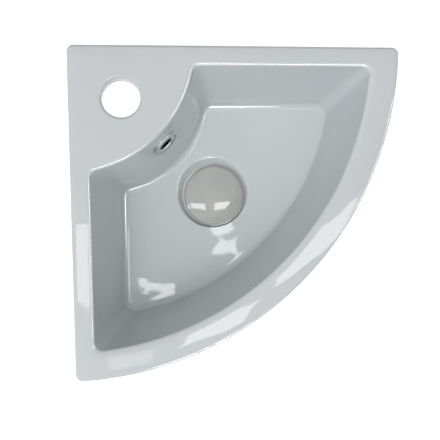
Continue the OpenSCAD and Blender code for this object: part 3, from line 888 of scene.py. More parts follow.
@dataclass
class Waste:
    """The waste that clamps through the drain boss: tube, thread, seals and nut."""

    sizes: BasinSizes = SIZES
    flange_radius: float = 0.0312
    flange_height: float = 0.0025
    flange_z: float = -0.104
    neck_radius: float = 0.0225
    neck_length: float = 0.004
    radius: float = 0.020955
    bore: float = 0.018
    length: float = 0.082
    chamfer: float = 0.0012
    dish_radius: float = 0.0235
    dish_depth: float = 0.0065
    slot_z: float = -0.1155
    slot_width: float = 0.018
    slot_height: float = 0.007
    slot_round: float = 0.0015
    cross_top: float = -0.1395
    cross_height: float = 0.006
    hub_radius: float = 0.008
    hub_bore: float = 0.0051
    arm_width: float = 0.0035
    arms: int = 3
    nut_z: float = -0.1436
    nut_height: float = 0.008
    nut_flats: float = 0.052
    groove: float = 0.002
    groove_depth: float = 0.0006
    pitch: float = 0.002309
    thread_depth: float = 0.0006
    play: float = 0.0001
    seal_z: float = -0.134
    seal_height: float = 0.006
    seal_radius: float = 0.031
    seal_small_radius: float = 0.027
    washer_height: float = 0.0016
    washer_radius: float = 0.029
    fine_edge: float = 0.0004
    dish_edge: float = 0.0008
    dish_foot: tuple[float, float] = (0.0006, 0.0007)
    collar: float = 0.002
    nut_round: float = 0.0006
    nut_edge: float = 0.0005
    ring_step: float = 0.0003
    nut_lead: float = 0.0012
    seal_round: float = 0.0006
    ribs: tuple[float, ...] = (0.3, 0.5, 0.7)
    rib_dip: tuple[float, float] = (0.0003, 0.0005)
    rib_half: float = 0.0004
    washer_edge: float = 0.0003
    thread_steps: int = 56
    foot_steps: int = 3
    flange_steps: int = 8
    dish_steps: int = 4
    seal_steps: int = 5
    overrun: float = 0.001

    @property
    def end_z(self) -> float:
        """Height of the tube's lower end."""
        return self.flange_z - self.length

    @property
    def top_z(self) -> float:
        """Height of the flange's upper face."""
        return self.flange_z + self.flange_height

    def shell(self) -> Object:
        """The tube with its flange, dished mouth, slots and cross.

        Returns:
            The piece, named waste_shell.
        """
        r, bore, end, top = self.radius, self.bore, self.end_z, self.top_z
        h, root = self.flange_height / 2, r - self.thread_depth
        neck_z = self.flange_z - self.neck_length
        groove_r, groove_z = r - self.groove_depth, self.nut_z - self.groove
        e, soft, dish_z = self.fine_edge, self.dish_edge, top - self.dish_depth
        tail = [(bore, end), (root - self.chamfer / 2, end), (root, end + self.chamfer)]
        tail += [(root, groove_z), (groove_r, groove_z), (groove_r, self.nut_z)]
        tail += [(r, self.nut_z + self.groove_depth), (r, neck_z)]
        tail += [(self.neck_radius, neck_z), (self.neck_radius, self.flange_z)]
        tail += arc((self.flange_radius - e, self.flange_z + e), e, -90, 0, self.foot_steps)
        tail += arc((self.flange_radius - h, top - h), h, 0, 90, self.flange_steps)
        tail += arc((self.dish_radius + soft, top - soft), soft, 90, 140, self.dish_steps)
        tail += [(bore + self.dish_foot[0], dish_z + self.dish_foot[1]), (bore, dish_z - e)]
        bm = turned(tail, Round.LARGE, self.sizes.at_drain())
        piece = as_object(bm, "waste_shell")
        reach = 2 * (r + 2 * self.overrun)
        slot = block((reach, self.slot_width, self.slot_height))
        soften(slot, edges_along(slot, 0, reach / 2), self.slot_round, 4)
        meet(piece, moved(slot, self.sizes.at_drain(self.slot_z) @ DIAGONAL), Cut.CARVE)
        meet(piece, self.cross(), Cut.JOIN)
        return piece

    def cross(self) -> BMesh:
        """The hub and arms that carry the latch inside the tube.

        Returns:
            The solid, in place at the drain.
        """
        top, edge, inner, outer = self.cross_top, self.fine_edge, self.hub_bore, self.hub_radius
        low = top - self.cross_height
        hub = [(inner, low), (outer - edge, low), (outer, low + edge), (outer, top - edge)]
        hub += [(outer - edge, top), (inner + edge, top), (inner, top - edge)]
        centre = as_object(turned(hub, Round.HOLE), "waste_hub")
        start = (outer + inner) / 2
        reach = (self.bore + self.radius) / 2 - start
        for i in range(self.arms):
            arm = block((reach, self.arm_width, self.cross_height - 2 * edge))
            soften(arm, arm.edges, edge, 2)
            out = Matrix.Translation((start + reach / 2, 0, low + self.cross_height / 2))
            turn = Matrix.Rotation(math.tau * i / self.arms, 4, "Z")
            meet(centre, moved(arm, turn @ out), Cut.JOIN)
        bm = bmesh.new()
        bm.from_mesh(centre.data)
        discard(centre)
        return moved(bm, self.sizes.at_drain())

    def thread(self) -> Object:
        """The thread on the tail, one helical ridge wound below the groove.

        Returns:
            The piece, named waste_thread.
        """
        low, high = self.end_z + self.chamfer, self.nut_z - self.groove
        turns = math.floor((high - low - self.pitch) / self.pitch)
        root, crest = self.radius - 1.5 * self.thread_depth, self.radius
        half, flat, start = self.pitch * 0.46, self.pitch * 0.07, low + self.pitch / 2
        profile = [(root, -half), (crest, -flat), (crest, flat), (root, half)]
        bm = bmesh.new()
        face = bm.faces.new([bm.verts.new((r, 0.0, start + z)) for r, z in profile])
        wind(bm, [face], turns, self.thread_steps, self.pitch)
        return as_object(moved(bm, self.sizes.at_drain()), "waste_thread")

    def nut(self) -> Object:
        """The back nut: a hexagon with turned chamfers and a round collar.

        Returns:
            The piece, named back_nut_turned.
        """
        round_r, top, body = self.nut_flats / 2, self.nut_height, self.nut_height - self.collar
        hex_r, ring_r = round_r / math.cos(math.pi / 6), round_r - self.ring_step
        place = self.sizes.at_drain(self.nut_z)
        bm = prism(hex_r, body, 6, True)
        bmesh.ops.rotate(bm, verts=bm.verts, matrix=Matrix.Rotation(math.pi / 6, 3, "Z"))
        soften(bm, edges_along(bm, 2, body / 2), self.nut_round)
        piece = as_object(moved(bm, self.sizes.at_drain(self.nut_z + body / 2)), "back_nut_turned")
        ring = [(0.0, self.collar), (ring_r, self.collar), (ring_r, top - self.nut_edge)]
        ring += [(round_r - self.nut_edge, top), (0.0, top)]
        meet(piece, turned(ring, Round.USUAL, place), Cut.JOIN)
        over, drop = self.overrun, (hex_r - round_r) * math.tan(math.radians(30))
        out = hex_r + over
        bevel_ring = [(round_r, -over), (out, -over), (out, drop + self.nut_round), (round_r, 0.0)]
        meet(piece, turned(bevel_ring, Round.USUAL, place), Cut.CARVE)
        bore = self.radius + self.play
        wide = bore + self.nut_lead
        hole = [(0.0, -over), (wide, -over), (wide, 0.0), (bore, over), (bore, top - over)]
        hole += [(wide, top), (wide, top + over), (0.0, top + over)]
        meet(piece, turned(hole, Round.USUAL, place), Cut.CARVE)
        return piece

    def seal(self) -> Object:
        """The tapered rubber seal with its moulded ribs.

        Returns:
            The piece, named taper_seal_moulded.
        """
        r0, r1, h, e = self.seal_small_radius, self.seal_radius, self.seal_height, self.seal_round
        bore, half = self.radius + self.play, self.rib_half
        edge, valley = self.rib_dip
        profile = [(bore, 0.0)] + arc((r0 - e, e), e, -90, 0, self.seal_steps)
        for share in self.ribs:
            r, z = r0 + (r1 - r0) * share, h * share
            profile += [(r - edge, z - half), (r - valley, z), (r - edge, z + half)]
        profile += arc((r1 - e, h - e), e, 0, 90, self.seal_steps) + [(bore, h)]
        place = self.sizes.at_drain(self.seal_z)
        return as_object(turned(profile, Round.USUAL, place), "taper_seal_moulded")

    def washer(self) -> Object:
        """The slip washer with its broken edges.

        Returns:
            The piece, named slip_washer_moulded.
        """
        r, h, e = self.washer_radius, self.washer_height, self.washer_edge
        bore = self.radius + self.play
        profile = [(bore, e), (bore + e, 0.0), (r - e, 0.0), (r, e)]
        profile += [(r, h - e), (r - e, h), (bore + e, h), (bore, h - e)]
        place = self.sizes.at_drain(self.seal_z - h)
        return as_object(turned(profile, Round.USUAL, place), "slip_washer_moulded")


@dataclass
class PlugTop:
    """The domed ceramic cap over the waste and the spring that lifts it."""

    sizes: BasinSizes = SIZES
    radius: float = 0.031
    low_z: float = -0.10115
    edge_height: float = 0.0026
    dome: float = 0.0062
    edge: float = 0.0012
    socket_radius: float = 0.009
    socket_depth: float = 0.003
    socket_round: float = 0.0003
    socket_flare: float = 0.0004
    spring_low: float = -0.1385
    spring_high: float = -0.13015
    spring_radius: float = 0.004
    wire: float = 0.0009
    turns: int = 5
    turn_steps: int = 40
    wire_sides: int = 14
    foot_steps: int = 4
    edge_steps: int = 7
    dome_steps: int = 26

    def cap(self) -> Object:
        """The domed cap with the socket in its underside.

        Returns:
            The piece, named plug_dome.
        """
        top = self.low_z + self.edge_height
        rim = self.radius - self.edge
        big = (rim**2 + self.dome**2) / (2 * self.dome)
        lean = math.degrees(math.asin(rim / big))
        low, roof, r = self.low_z, self.low_z + self.socket_depth, self.socket_radius
        inner, flare, e = self.socket_round, self.socket_flare, self.edge / 2
        profile = [(0.0, roof), (r - inner, roof), (r, roof - inner)]
        profile += [(r, low + flare), (r + flare, low)]
        profile += arc((self.radius - e, low + e), e, -90, 0, self.foot_steps)
        profile += arc((rim, top - self.edge), self.edge, 0, 90 - lean, self.edge_steps)
        profile += arc((0.0, top + self.dome - big), big, 90 - lean, 90, self.dome_steps)[1:]
        return as_object(turned(profile, Round.DOME, self.sizes.at_drain()), CAP_PIECE)

    def spring(self) -> Object:
        """The latch's spring, with its end turns closed.

        Returns:
            The piece, named spring_wound.
        """
        w = self.wire / 2
        low = self.spring_low + w
        rise = (self.spring_high - w - low) / self.turns
        bm = bmesh.new()
        bmesh.ops.create_circle(bm, cap_ends=True, segments=self.wire_sides, radius=w)
        bmesh.ops.rotate(bm, verts=bm.verts, matrix=Matrix.Rotation(math.pi / 2, 3, "X"))
        bmesh.ops.translate(bm, verts=bm.verts, vec=(self.spring_radius, 0, low))
        wind(bm, bm.faces[:], self.turns, self.turn_steps, rise)
        return as_object(moved(bm, self.sizes.at_drain()), "spring_wound")


# --------------------------------------------------------------------------- finishes


def paint(red: int, green: int, blue: int) -> Colour:
    """A colour as the shader takes it, from its three 0 to 255 values as seen on a screen.

    Args:
        red: Its red.
        green: Its green.
        blue: Its blue.

    Returns:
        The linear colour, with its alpha.
    """
    parts = [v / 255 for v in (red, green, blue)]
    parts = [v / 12.92 if v <= 0.04045 else ((v + 0.055) / 1.055) ** 2.4 for v in parts]
    return (*parts, 1.0)


class Signal:
    """A number that runs through the nodes of a finish."""

    def __init__(self, recipe: "Recipe", socket: NodeSocket) -> None:
        """Keeps the socket and the finish that it belongs to."""
        self.recipe = recipe
        self.socket = socket

    def through(self, operation: str, *others: "Signal | float") -> "Signal":
        """This number and others through one sum.

        Args:
            operation: Name of the sum.
            others: The other terms.

        Returns:
            The result.
        """
        sockets = dict(enumerate((self,) + others))
        return self.recipe.signal("ShaderNodeMath", sockets, operation=operation)

    def __add__(self, other: "Signal | float") -> "Signal":
        """self + other, in either order."""
        return self.through("ADD", other)

    __radd__ = __add__

    def __sub__(self, other: "Signal | float") -> "Signal":
        """self - other."""
        return self.through("SUBTRACT", other)

    def __rsub__(self, other: float) -> "Signal":
        """other - self."""
        return self.recipe.signal("ShaderNodeMath", {0: other, 1: self}, operation="SUBTRACT")

    def __mul__(self, other: "Signal | float") -> "Signal":
        """self times other, in either order."""
        return self.through("MULTIPLY", other)

    __rmul__ = __mul__

    def __truediv__(self, other: "Signal | float") -> "Signal":
        """self divided by other."""
        return self.through("DIVIDE", other)

    def highest(self, other: "Signal | float") -> "Signal":
        """The higher of two numbers."""
        return self.through("MAXIMUM", other)

    def ramp(self, low: float, high: float) -> "Signal":
        """0 below one value and 1 above the other, smooth between them.

        Args:
            low: Value that gives 0.
            high: Value that gives 1; it may be the smaller of the two.

        Returns:
            The share.
        """
        values = {"Value": self, "From Min": low, "From Max": high, "To Min": 0.0, "To Max": 1.0}
        kind = "ShaderNodeMapRange"
        return self.recipe.signal(kind, values, interpolation_type="SMOOTHSTEP", clamp=True)


class Recipe:
    """The node tree of one finish, or of the world."""

    def __init__(self, holder: Material | World) -> None:
        """Empties the node tree of a new material or world.

        Args:
            holder: The material or the world.
        """
        self.holder = holder
        holder.use_nodes = True
        holder.node_tree.nodes.clear()

    @cached_property
    def place(self) -> NodeSocket:
        """The object's own coordinates."""
        return self.node("ShaderNodeTexCoord").outputs["Object"]

    def node(self, kind: str, sockets: Sockets | None = None, **settings: object) -> Node:
        """Adds a node.

        Args:
            kind: Type of the node.
            sockets: Values or links of its sockets, by name or number.
            settings: Its own settings.

        Returns:
            The node.
        """
        tree = self.holder.node_tree
        made = tree.nodes.new(kind)
        for key, value in settings.items():
            setattr(made, key, value)
        for key, value in (sockets or {}).items():
            source = value.socket if isinstance(value, Signal) else value
            if isinstance(source, NodeSocket):
                tree.links.new(source, made.inputs[key])
            else:
                made.inputs[key].default_value = source
        return made

    def signal(
        self, kind: str, sockets: Sockets, output: str | int = 0, **settings: object
    ) -> Signal:
        """Adds a node and gives one of its outputs as a number."""
        return Signal(self, self.node(kind, sockets, **settings).outputs[output])

    def mix(self, share: Signal | float, low: object, high: object) -> NodeSocket:
        """A colour between two, by a share."""
        sockets = {0: share, 6: low, 7: high}
        return self.node("ShaderNodeMix", sockets, data_type="RGBA", blend_type="MIX").outputs[2]

    def noise(self, size: float, detail: float = 2.0) -> Signal:
        """Cloudy noise from 0 to 1.

        Args:
            size: Size of its patches, in metres.
            detail: Number of finer layers.

        Returns:
            The noise.
        """
        sockets = {"Vector": self.place, "Scale": 1.0 / size, "Detail": detail, "Roughness": 0.5}
        return self.signal("ShaderNodeTexNoise", sockets, "Fac", noise_dimensions="3D")

    def specks(self, spacing: float, radius: float, share: float) -> Signal:
        """Small round marks: 1 at their middle and 0 off them.

        Args:
            spacing: Usual distance between two, in metres.
            radius: Radius of a mark, in metres.
            share: Share of the places that hold one.

        Returns:
            The marks.
        """
        sockets = {"Vector": self.place, "Scale": 1.0 / spacing}
        cells = self.node("ShaderNodeTexVoronoi", sockets, feature="F1").outputs
        near = Signal(self, cells["Distance"]).ramp(radius / spacing, 0.3 * radius / spacing)
        pick = self.signal("ShaderNodeSeparateColor", {"Color": cells["Color"]}, "Red")
        return near * pick.ramp(1.0 - share, 1.001 - share)

    def axes(self, centre: Vector) -> list[Signal]:
        """The three coordinates from a centre.

        Args:
            centre: The centre.

        Returns:
            X, Y and Z.
        """
        ends = {0: self.place, 1: tuple(centre)}
        shifted = self.node("ShaderNodeVectorMath", ends, operation="SUBTRACT").outputs[0]
        split = self.node("ShaderNodeSeparateXYZ", {0: shifted})
        return [Signal(self, axis) for axis in split.outputs]

    def fold(self, value: Signal, half: float) -> Signal:
        """A value that runs up to a limit, back to 0, and so on."""
        return self.signal("ShaderNodeMath", {0: value, 1: half}, operation="PINGPONG")

    def seen_directly(self) -> Signal:
        """1 for rays of the camera, of reflections and of glass, and 0 for all others.

        Returns:
            The number.
        """
        rays = self.node("ShaderNodeLightPath").outputs
        camera = Signal(self, rays["Is Camera Ray"])
        return camera.highest(rays["Is Glossy Ray"]).highest(rays["Is Transmission Ray"])

    def ended(self, shader: Node) -> Material:
        """The material, once its shader is linked to its output."""
        self.node("ShaderNodeOutputMaterial", {0: shader.outputs[0]})
        return self.holder

    def surface(
        self, colour: NodeSocket, rough: Signal, height: Signal, depth: float, inputs: Sockets
    ) -> Material:
        """Ends the finish with its shader.

        Args:
            colour: Its colour.
            rough: Its roughness.
            height: Its relief, from 0 to 1.
            depth: Depth of the relief, in metres.
            inputs: What is the same all over.

        Returns:
            The material.
        """
        relief = {"Strength": 1.0, "Distance": depth, "Height": height}
        bump = self.node("ShaderNodeBump", relief).outputs[0]
        inputs = {**inputs, "Base Color": colour, "Roughness": rough, "Normal": bump}
        return self.ended(self.node("ShaderNodeBsdfPrincipled", inputs))


def apart(x: Signal, y: Signal) -> Signal:
    """Distance from the axis where x and y are 0."""
    return (x * x + y * y).through("SQRT")


@dataclass(frozen=True)
class BasinGlaze:
    """White glaze over the casting, bare where it meets the walls and stood in the kiln, darker
    deep in the bowl from pooled glaze and painted shade.
    """

    name: str = "basin_glaze"
    white: Colour = paint(205, 209, 212)
    # Darker, greener colour deep in the bowl: partly pooled glaze, partly painted shade.
    pooled_shade: Colour = paint(202, 207, 207)
    thin: Colour = paint(211, 214, 215)
    bare: Colour = paint(203, 196, 181)
    pinhole: Colour = paint(150, 146, 136)
    stained: Colour = paint(188, 180, 164)
    gloss: float = 0.022
    bare_gloss: float = 0.62
    relief: float = 0.0003
    # Heights between which the pooled glaze and the painted shade build up in the bowl.
    pool_shade_from: float = -0.03
    pool_shade_to: float = -0.104
    foot_z: float = -0.125
    kiln_line: float = 0.0006

    def material(self) -> Material:
        """Builds the glaze.

        Returns:
            The material.
        """
        r = Recipe(bpy.data.materials.new(self.name))
        x, y, z = r.axes(Vector())
        wander = (r.noise(0.012, 3.0) - 0.5) * 0.0008
        wall = (x * -1.0).highest(y) + wander
        foot = z + wander - self.foot_z
        bare = wall.ramp(-self.kiln_line, -self.kiln_line / 3)
        bare = bare.highest(foot.ramp(self.kiln_line, self.kiln_line / 3))
        # Painted shade with pooled glaze: the bowl turns darker and greener towards its floor.
        pooled_and_shaded = z.ramp(self.pool_shade_from, self.pool_shade_to) * (0.75 + r.noise(0.05) * 0.5)
        edge = z.ramp(-0.0002, -0.0012) * z.ramp(-0.0042, -0.0022)
        cloud = r.noise(0.09, 3.0)
        colour = r.mix(cloud.ramp(0.3, 0.75) * 0.5, self.white, self.thin)
        colour = r.mix(pooled_and_shaded, colour, self.pooled_shade)
        colour = r.mix(edge * (0.4 + r.noise(0.006) * 0.6), colour, self.thin)
        pinholes = r.specks(0.017, 0.00016, 0.35)
        colour = r.mix(pinholes * 0.55, colour, self.pinhole)
        grit = r.noise(0.0011, 4.0)
        colour = r.mix(bare, colour, r.mix(grit.ramp(0.35, 0.7), self.bare, self.stained))
        smear = r.noise(0.03, 4.0).ramp(0.5, 0.8) * 0.03
        rough = (self.gloss + smear) * (1.0 - bare) + bare * (self.bare_gloss + grit * 0.2)
        skin = r.noise(0.038, 1.0) * (1.0 - bare) + r.noise(0.0045, 2.0) * 0.035 - pinholes * 0.25
        return r.surface(colour, rough, skin + grit * bare * 0.5, self.relief, {"IOR": 1.5})


@dataclass(frozen=True)
class CapGlaze:
    """Warm white glaze of the domed cap, with its bare brown edge below that is partly painted
    shadow, and a ring of painted shade round its rim.
    """

    name: str = "cap_glaze"
    warm: Colour = paint(186, 186, 181)
    cool: Colour = paint(178, 180, 178)
    # Dark brown of the bare foot: partly unglazed clay, partly painted shadow of the gap under the
    # cap.
    clay_and_gap_shade: Colour = paint(92, 76, 62)
    stained: Colour = paint(120, 102, 84)
    # Colour of the ring of painted shade round the cap's rim.
    edge: Colour = paint(150, 142, 130)
    gloss: float = 0.022
    relief: float = 0.0003
    low_z: float = -0.10115
    line: float = 0.0011
    line_half: float = 0.00025
    radius: float = 0.031

    def material(self) -> Material:
        """Builds the glaze.

        Returns:
            The material.
        """
        r = Recipe(bpy.data.materials.new(self.name))
        x, y, z = r.axes(SIZES.drain + Vector((0, 0, self.low_z)))
        reach = apart(x, y)
        wander = (r.noise(0.006, 3.0) - 0.5) * 0.0006
        # Bare foot at the bottom of the cap's side: partly unglazed clay, partly painted shadow of
        # the gap under the cap.
        bare = (z + wander).ramp(self.line + self.line_half, self.line - self.line_half)
        # Painted shade: a darker ring round the cap's rim, where the shadow of the gap round the
        # cap falls.
        edge = reach.ramp(self.radius - 0.0016, self.radius - 0.0004)
        cloud = r.noise(0.02, 3.0)
        colour = r.mix(cloud.ramp(0.3, 0.7), self.warm, self.cool)
        colour = r.mix(edge * 0.45, colour, self.edge)
        pinholes = r.specks(0.009, 0.00014, 0.3)
        colour = r.mix(pinholes * 0.5, colour, self.clay_and_gap_shade)
        grit = r.noise(0.0009, 4.0)
        colour = r.mix(bare, colour, r.mix(grit.ramp(0.3, 0.7), self.clay_and_gap_shade, self.stained))
        smear = r.noise(0.014, 4.0).ramp(0.5, 0.8) * 0.04
        rough = (self.gloss + smear) * (1.0 - bare) + bare * 0.6
        skin = r.noise(0.02, 1.0) * 0.6 + r.noise(0.003, 2.0) * 0.04 + grit * bare * 0.4
        return r.surface(colour, rough, skin - pinholes * 0.25, self.relief, {"IOR": 1.5})


@dataclass(frozen=True)
class Plated:
    """Chrome plate with faint polishing lines, finger marks and small dull spots."""

    name: str
    bright: Colour = paint(222, 226, 230)
    dull: Colour = paint(186, 190, 194)
    gloss: float = 0.05
    line: float = 0.00022
    relief: float = 0.000006

    def material(self) -> Material:
        """Builds the plating.

        Returns:
            The material.
        """
        r = Recipe(bpy.data.materials.new(self.name))
        marks = r.noise(0.011, 5.0).ramp(0.45, 0.75)
        spots = r.specks(0.0035, 0.0004, 0.3)
        x, y, z = r.axes(SIZES.drain)
        reach = apart(x, y) + z * 0.7
        lines = r.fold(reach + r.noise(0.02) * 0.0004, self.line / 2)
        colour = r.mix(marks * 0.35 + spots * 0.25, self.bright, self.dull)
        rough = self.gloss + marks * 0.07 + spots * 0.12
        height = lines * 1500.0 + r.noise(0.006, 2.0) * 2.0
        return r.surface(colour, rough, height, self.relief, {"Metallic": 1.0})


@dataclass(frozen=True)
class Turned:
    """Bare metal with the lathe's fine rings round the drain's axis, darker where it has aged."""

    name: str
    clean: Colour
    aged: Colour
    gloss: float = 0.22
    ring: float = 0.00022
    thread: float = 0.0
    relief: float = 0.00002

    def material(self) -> Material:
        """Builds the metal.

        Returns:
            The material.
        """
        r = Recipe(bpy.data.materials.new(self.name))
        x, y, z = r.axes(SIZES.drain)
        reach = apart(x, y)
        feed = reach + z + (r.noise(0.008) - 0.5) * 0.0002
        rings = r.fold(feed, self.ring / 2) * (2.0 / self.ring)
        age = r.noise(0.007, 5.0).ramp(0.42, 0.72)
        pits = r.specks(0.0022, 0.0003, 0.25)
        colour = r.mix(age * 0.8, self.clean, self.aged)
        colour = r.mix(pits * 0.6, colour, self.aged)
        rough = self.gloss + age * 0.16 + rings * 0.05
        height = rings * 0.25 + r.noise(0.0012, 3.0) * 0.15 - pits * 0.5
        depth = self.relief
        if self.thread:
            winding = z / self.thread - y.through("ARCTAN2", x) / math.tau
            ridge = r.fold(winding, 0.5) * 2.0
            height = height * 0.08 + ridge
            depth = self.thread * 0.5
        return r.surface(colour, rough, height, depth, {"Metallic": 1.0})


class Mould(Enum):
    """How the tool of a moulded piece was finished."""

    SPARKED = 0.00045
    GROUND = 0.0014


@dataclass(frozen=True)
class Moulded:
    """Rubber or plastic, with the grain of its mould, a faint bloom and scuffs."""

    name: str
    colour: Colour
    bloom: Colour
    rough: float
    mould: Mould = Mould.SPARKED
    relief: float = 0.00004

    def material(self) -> Material:
        """Builds the plastic or the rubber.

        Returns:
            The material.
        """
        r = Recipe(bpy.data.materials.new(self.name))
        bloom = r.noise(0.009, 4.0).ramp(0.4, 0.8)
        grain = r.noise(self.mould.value, 3.0)
        scuffs = r.specks(0.004, 0.0005, 0.4)
        colour = r.mix(bloom * 0.6 + scuffs * 0.3, self.colour, self.bloom)
        rough = self.rough + bloom * 0.12 - scuffs * 0.08
        return r.surface(colour, rough, grain - scuffs * 0.4, self.relief, {"IOR": 1.48})


# --------------------------------------------------------------------------- studio


class Role(Enum):
    """What a lamp is there for: (lights matt colour, shows in the glaze)."""

    FILL = (True, False)
    WINDOW = (False, True)


@dataclass(frozen=True)
class Lamp:
    """One soft rectangular lamp: a fill that faces the basin, or a level window in the glaze."""

    name: str
    place: tuple[float, float, float]
    size: tuple[float, float]
    radiance: float
    role: Role = Role.FILL
    piece: str = ""

    def hang(self, aim: Vector) -> None:
        """Hangs the lamp in the studio.

        Args:
            aim: What a fill faces. A lamp that names a piece shines on that piece alone.
        """
        lamp = bpy.data.lights.new(self.name, "AREA")
        lamp.shape = "RECTANGLE"
        lamp.size, lamp.size_y = self.size
        lamp.energy = self.radiance * math.pi * self.size[0] * self.size[1]
        holder = bpy.data.objects.new(self.name, lamp)
        bpy.context.scene.collection.objects.link(holder)
        holder.matrix_world = Matrix.Translation(self.place)
        if self.role is Role.FILL:
            turn = (aim - Vector(self.place)).to_track_quat("-Z", "Y")
            holder.matrix_world @= turn.to_matrix().to_4x4()
        holder.visible_diffuse, holder.visible_glossy = self.role.value
        holder.visible_camera = False
        if self.piece:
            lit = bpy.data.collections.new(self.name)
            lit.objects.link(bpy.data.objects[self.piece])
            holder.light_linking.receiver_collection = lit


@dataclass
class Studio:
    """The pale floor, the screen that only reflections show, the backdrop, lamps and camera."""

    floor_z: float = -0.1875
    floor_size: float = 3.0
    floor_shade: float = 0.6
    floor_glow: float = 0.84
    aim: tuple[float, float, float] = (0.13, -0.13, -0.03)
    ambient: float = 0.3
    ambient_tint: tuple[float, float, float] = (0.97, 0.99, 1.0)
    lamps: tuple[Lamp, ...] = (
        Lamp("fill_left", (-1.508, -0.13, 1.117), (1.0, 1.0), 0.7),
        Lamp("fill_low", (-1.028, -1.288, 1.117), (1.0, 1.0), 2.7),
        Lamp("fill_high", (-0.534, -0.794, 1.736), (0.8, 0.8), 7.0),
        Lamp("fill_front", (0.794, -0.794, 1.736), (0.8, 0.8), 1.3),
        Lamp("fill_right", (0.34, 0.06, 0.5), (0.25, 0.25), 1.8),
        Lamp("fill_top", (0.13, -0.13, 2.0), (0.8, 0.8), 0.3),
        Lamp("window_cap_left", (-0.56, -0.73, 1.4), (0.88, 0.34), 9.0, Role.WINDOW, CAP_PIECE),
        Lamp("window_cap_right", (1.2, -0.7, 1.4), (1.8, 0.36), 9.0, Role.WINDOW, CAP_PIECE),
        Lamp("window_front", (0.305, -0.635, 1.4), (0.27, 0.19), 5.0, Role.WINDOW, CASTING_PIECE),
        Lamp("window_right", (0.705, -0.39, 1.4), (0.49, 0.22), 5.0, Role.WINDOW, CASTING_PIECE),
        Lamp("window_left", (-0.265, -0.40, 1.4), (0.23, 0.24), 4.5, Role.WINDOW, CASTING_PIECE),
        Lamp("window_faint", (0.01, -0.77, 1.4), (0.16, 0.2), 2.0, Role.WINDOW, CASTING_PIECE),
        Lamp("skylight_a", (0.315, -0.295, 1.4), (0.06, 0.05), 7.0, Role.WINDOW, CASTING_PIECE),
        Lamp("skylight_b", (0.14, -0.425, 1.4), (0.1, 0.03), 8.0, Role.WINDOW, CASTING_PIECE),
        Lamp("strip_front", (0.55, -1.35, 0.8), (0.7, 0.8), 20.0, Role.WINDOW, CASTING_PIECE),
        Lamp("strip_right", (1.55, -0.4, 0.8), (0.8, 0.8), 20.0, Role.WINDOW, CASTING_PIECE),
    )
    screen_radius: float = 1.5
    screen_gap: float = 0.001
    screen_sides: int = 64
    screen_top: float = 0.55
    screen_shade: float = 0.3
    eye: tuple[float, float, float] = (0.0693133, -0.1134777, 0.5807126)
    axes: tuple[tuple[float, float, float], ...] = (
        (0.99372095, -0.01185108, 0.11125743),
        (0.02005273, 0.99713831, -0.07289088),
        (-0.11007521, 0.07466421, 0.99111488),
    )
    lens: float = 52.40
    sensor: float = 36.0
    clip: tuple[float, float] = (0.01, 50.0)

    def world(self) -> None:
        """Soft light from all round, white behind the object."""
        r = Recipe(bpy.data.worlds.new("studio"))
        lights = [
            r.node("ShaderNodeBackground", {"Color": (*tint, 1.0), "Strength": strength})
            for tint, strength in ((self.ambient_tint, self.ambient), ((1.0, 1.0, 1.0), 1.0))
        ]
        soft, white = (light.outputs[0] for light in lights)
        mix = r.node("ShaderNodeMixShader", {0: r.seen_directly(), 1: soft, 2: white})
        r.node("ShaderNodeOutputWorld", {0: mix.outputs[0]})
        bpy.context.scene.world = r.holder

    def stand(self, bm: BMesh, z: float, name: str) -> tuple[Object, Recipe]:
        """Stands a piece of the studio round the basin.

        Args:
            bm: Its mesh, round the origin.
            z: Height at which it stands.
            name: Its name.

        Returns:
            The piece and the empty material that it has been given.
        """
        piece = as_object(moved(bm, Matrix.Translation((*self.aim[:2], z))), name)
        r = Recipe(bpy.data.materials.new(name))
        piece.data.materials.append(r.holder)
        return piece, r

    def floor(self) -> None:
        """A pale floor that keeps the object's shadow but else shows nearly white."""
        bm = bmesh.new()
        bmesh.ops.create_grid(bm, x_segments=1, y_segments=1, size=self.floor_size)
        _, r = self.stand(bm, self.floor_z, "studio_floor")
        matt = r.node("ShaderNodeBsdfDiffuse", {"Color": (*[self.floor_shade] * 3, 1.0)})
        glow = r.node("ShaderNodeEmission", {"Strength": r.seen_directly() * self.floor_glow})
        r.ended(r.node("ShaderNodeAddShader", {0: matt.outputs[0], 1: glow.outputs[0]}))

    def screen(self) -> None:
        """A dim screen all round, low down, that only reflections show."""
        low, high = self.floor_z + self.screen_gap, self.screen_top
        bm = prism(self.screen_radius, high - low, self.screen_sides, False)
        screen, r = self.stand(bm, (high + low) / 2, "studio_screen")
        r.ended(r.node("ShaderNodeEmission", {"Strength": self.screen_shade}))
        for ray in ("camera", "diffuse", "transmission", "volume_scatter", "shadow"):
            setattr(screen, "visible_" + ray, False)

    def build(self) -> None:
        """Builds floor, screen, backdrop, lamps and camera."""
        self.floor()
        self.screen()
        self.world()
        for lamp in self.lamps:
            lamp.hang(Vector(self.aim))
        lens = bpy.data.cameras.new("photo_camera")
        lens.sensor_width = self.sensor
        lens.lens = self.lens
        lens.clip_start, lens.clip_end = self.clip
        camera = bpy.data.objects.new("photo_camera", lens)
        bpy.context.scene.collection.objects.link(camera)
        rows = Matrix(self.axes).transposed().to_4x4()
        camera.matrix_world = Matrix.Translation(self.eye) @ rows
        bpy.context.scene.camera = camera
        bpy.context.scene.view_settings.view_transform = "Standard"


# --------------------------------------------------------------------------- the whole basin


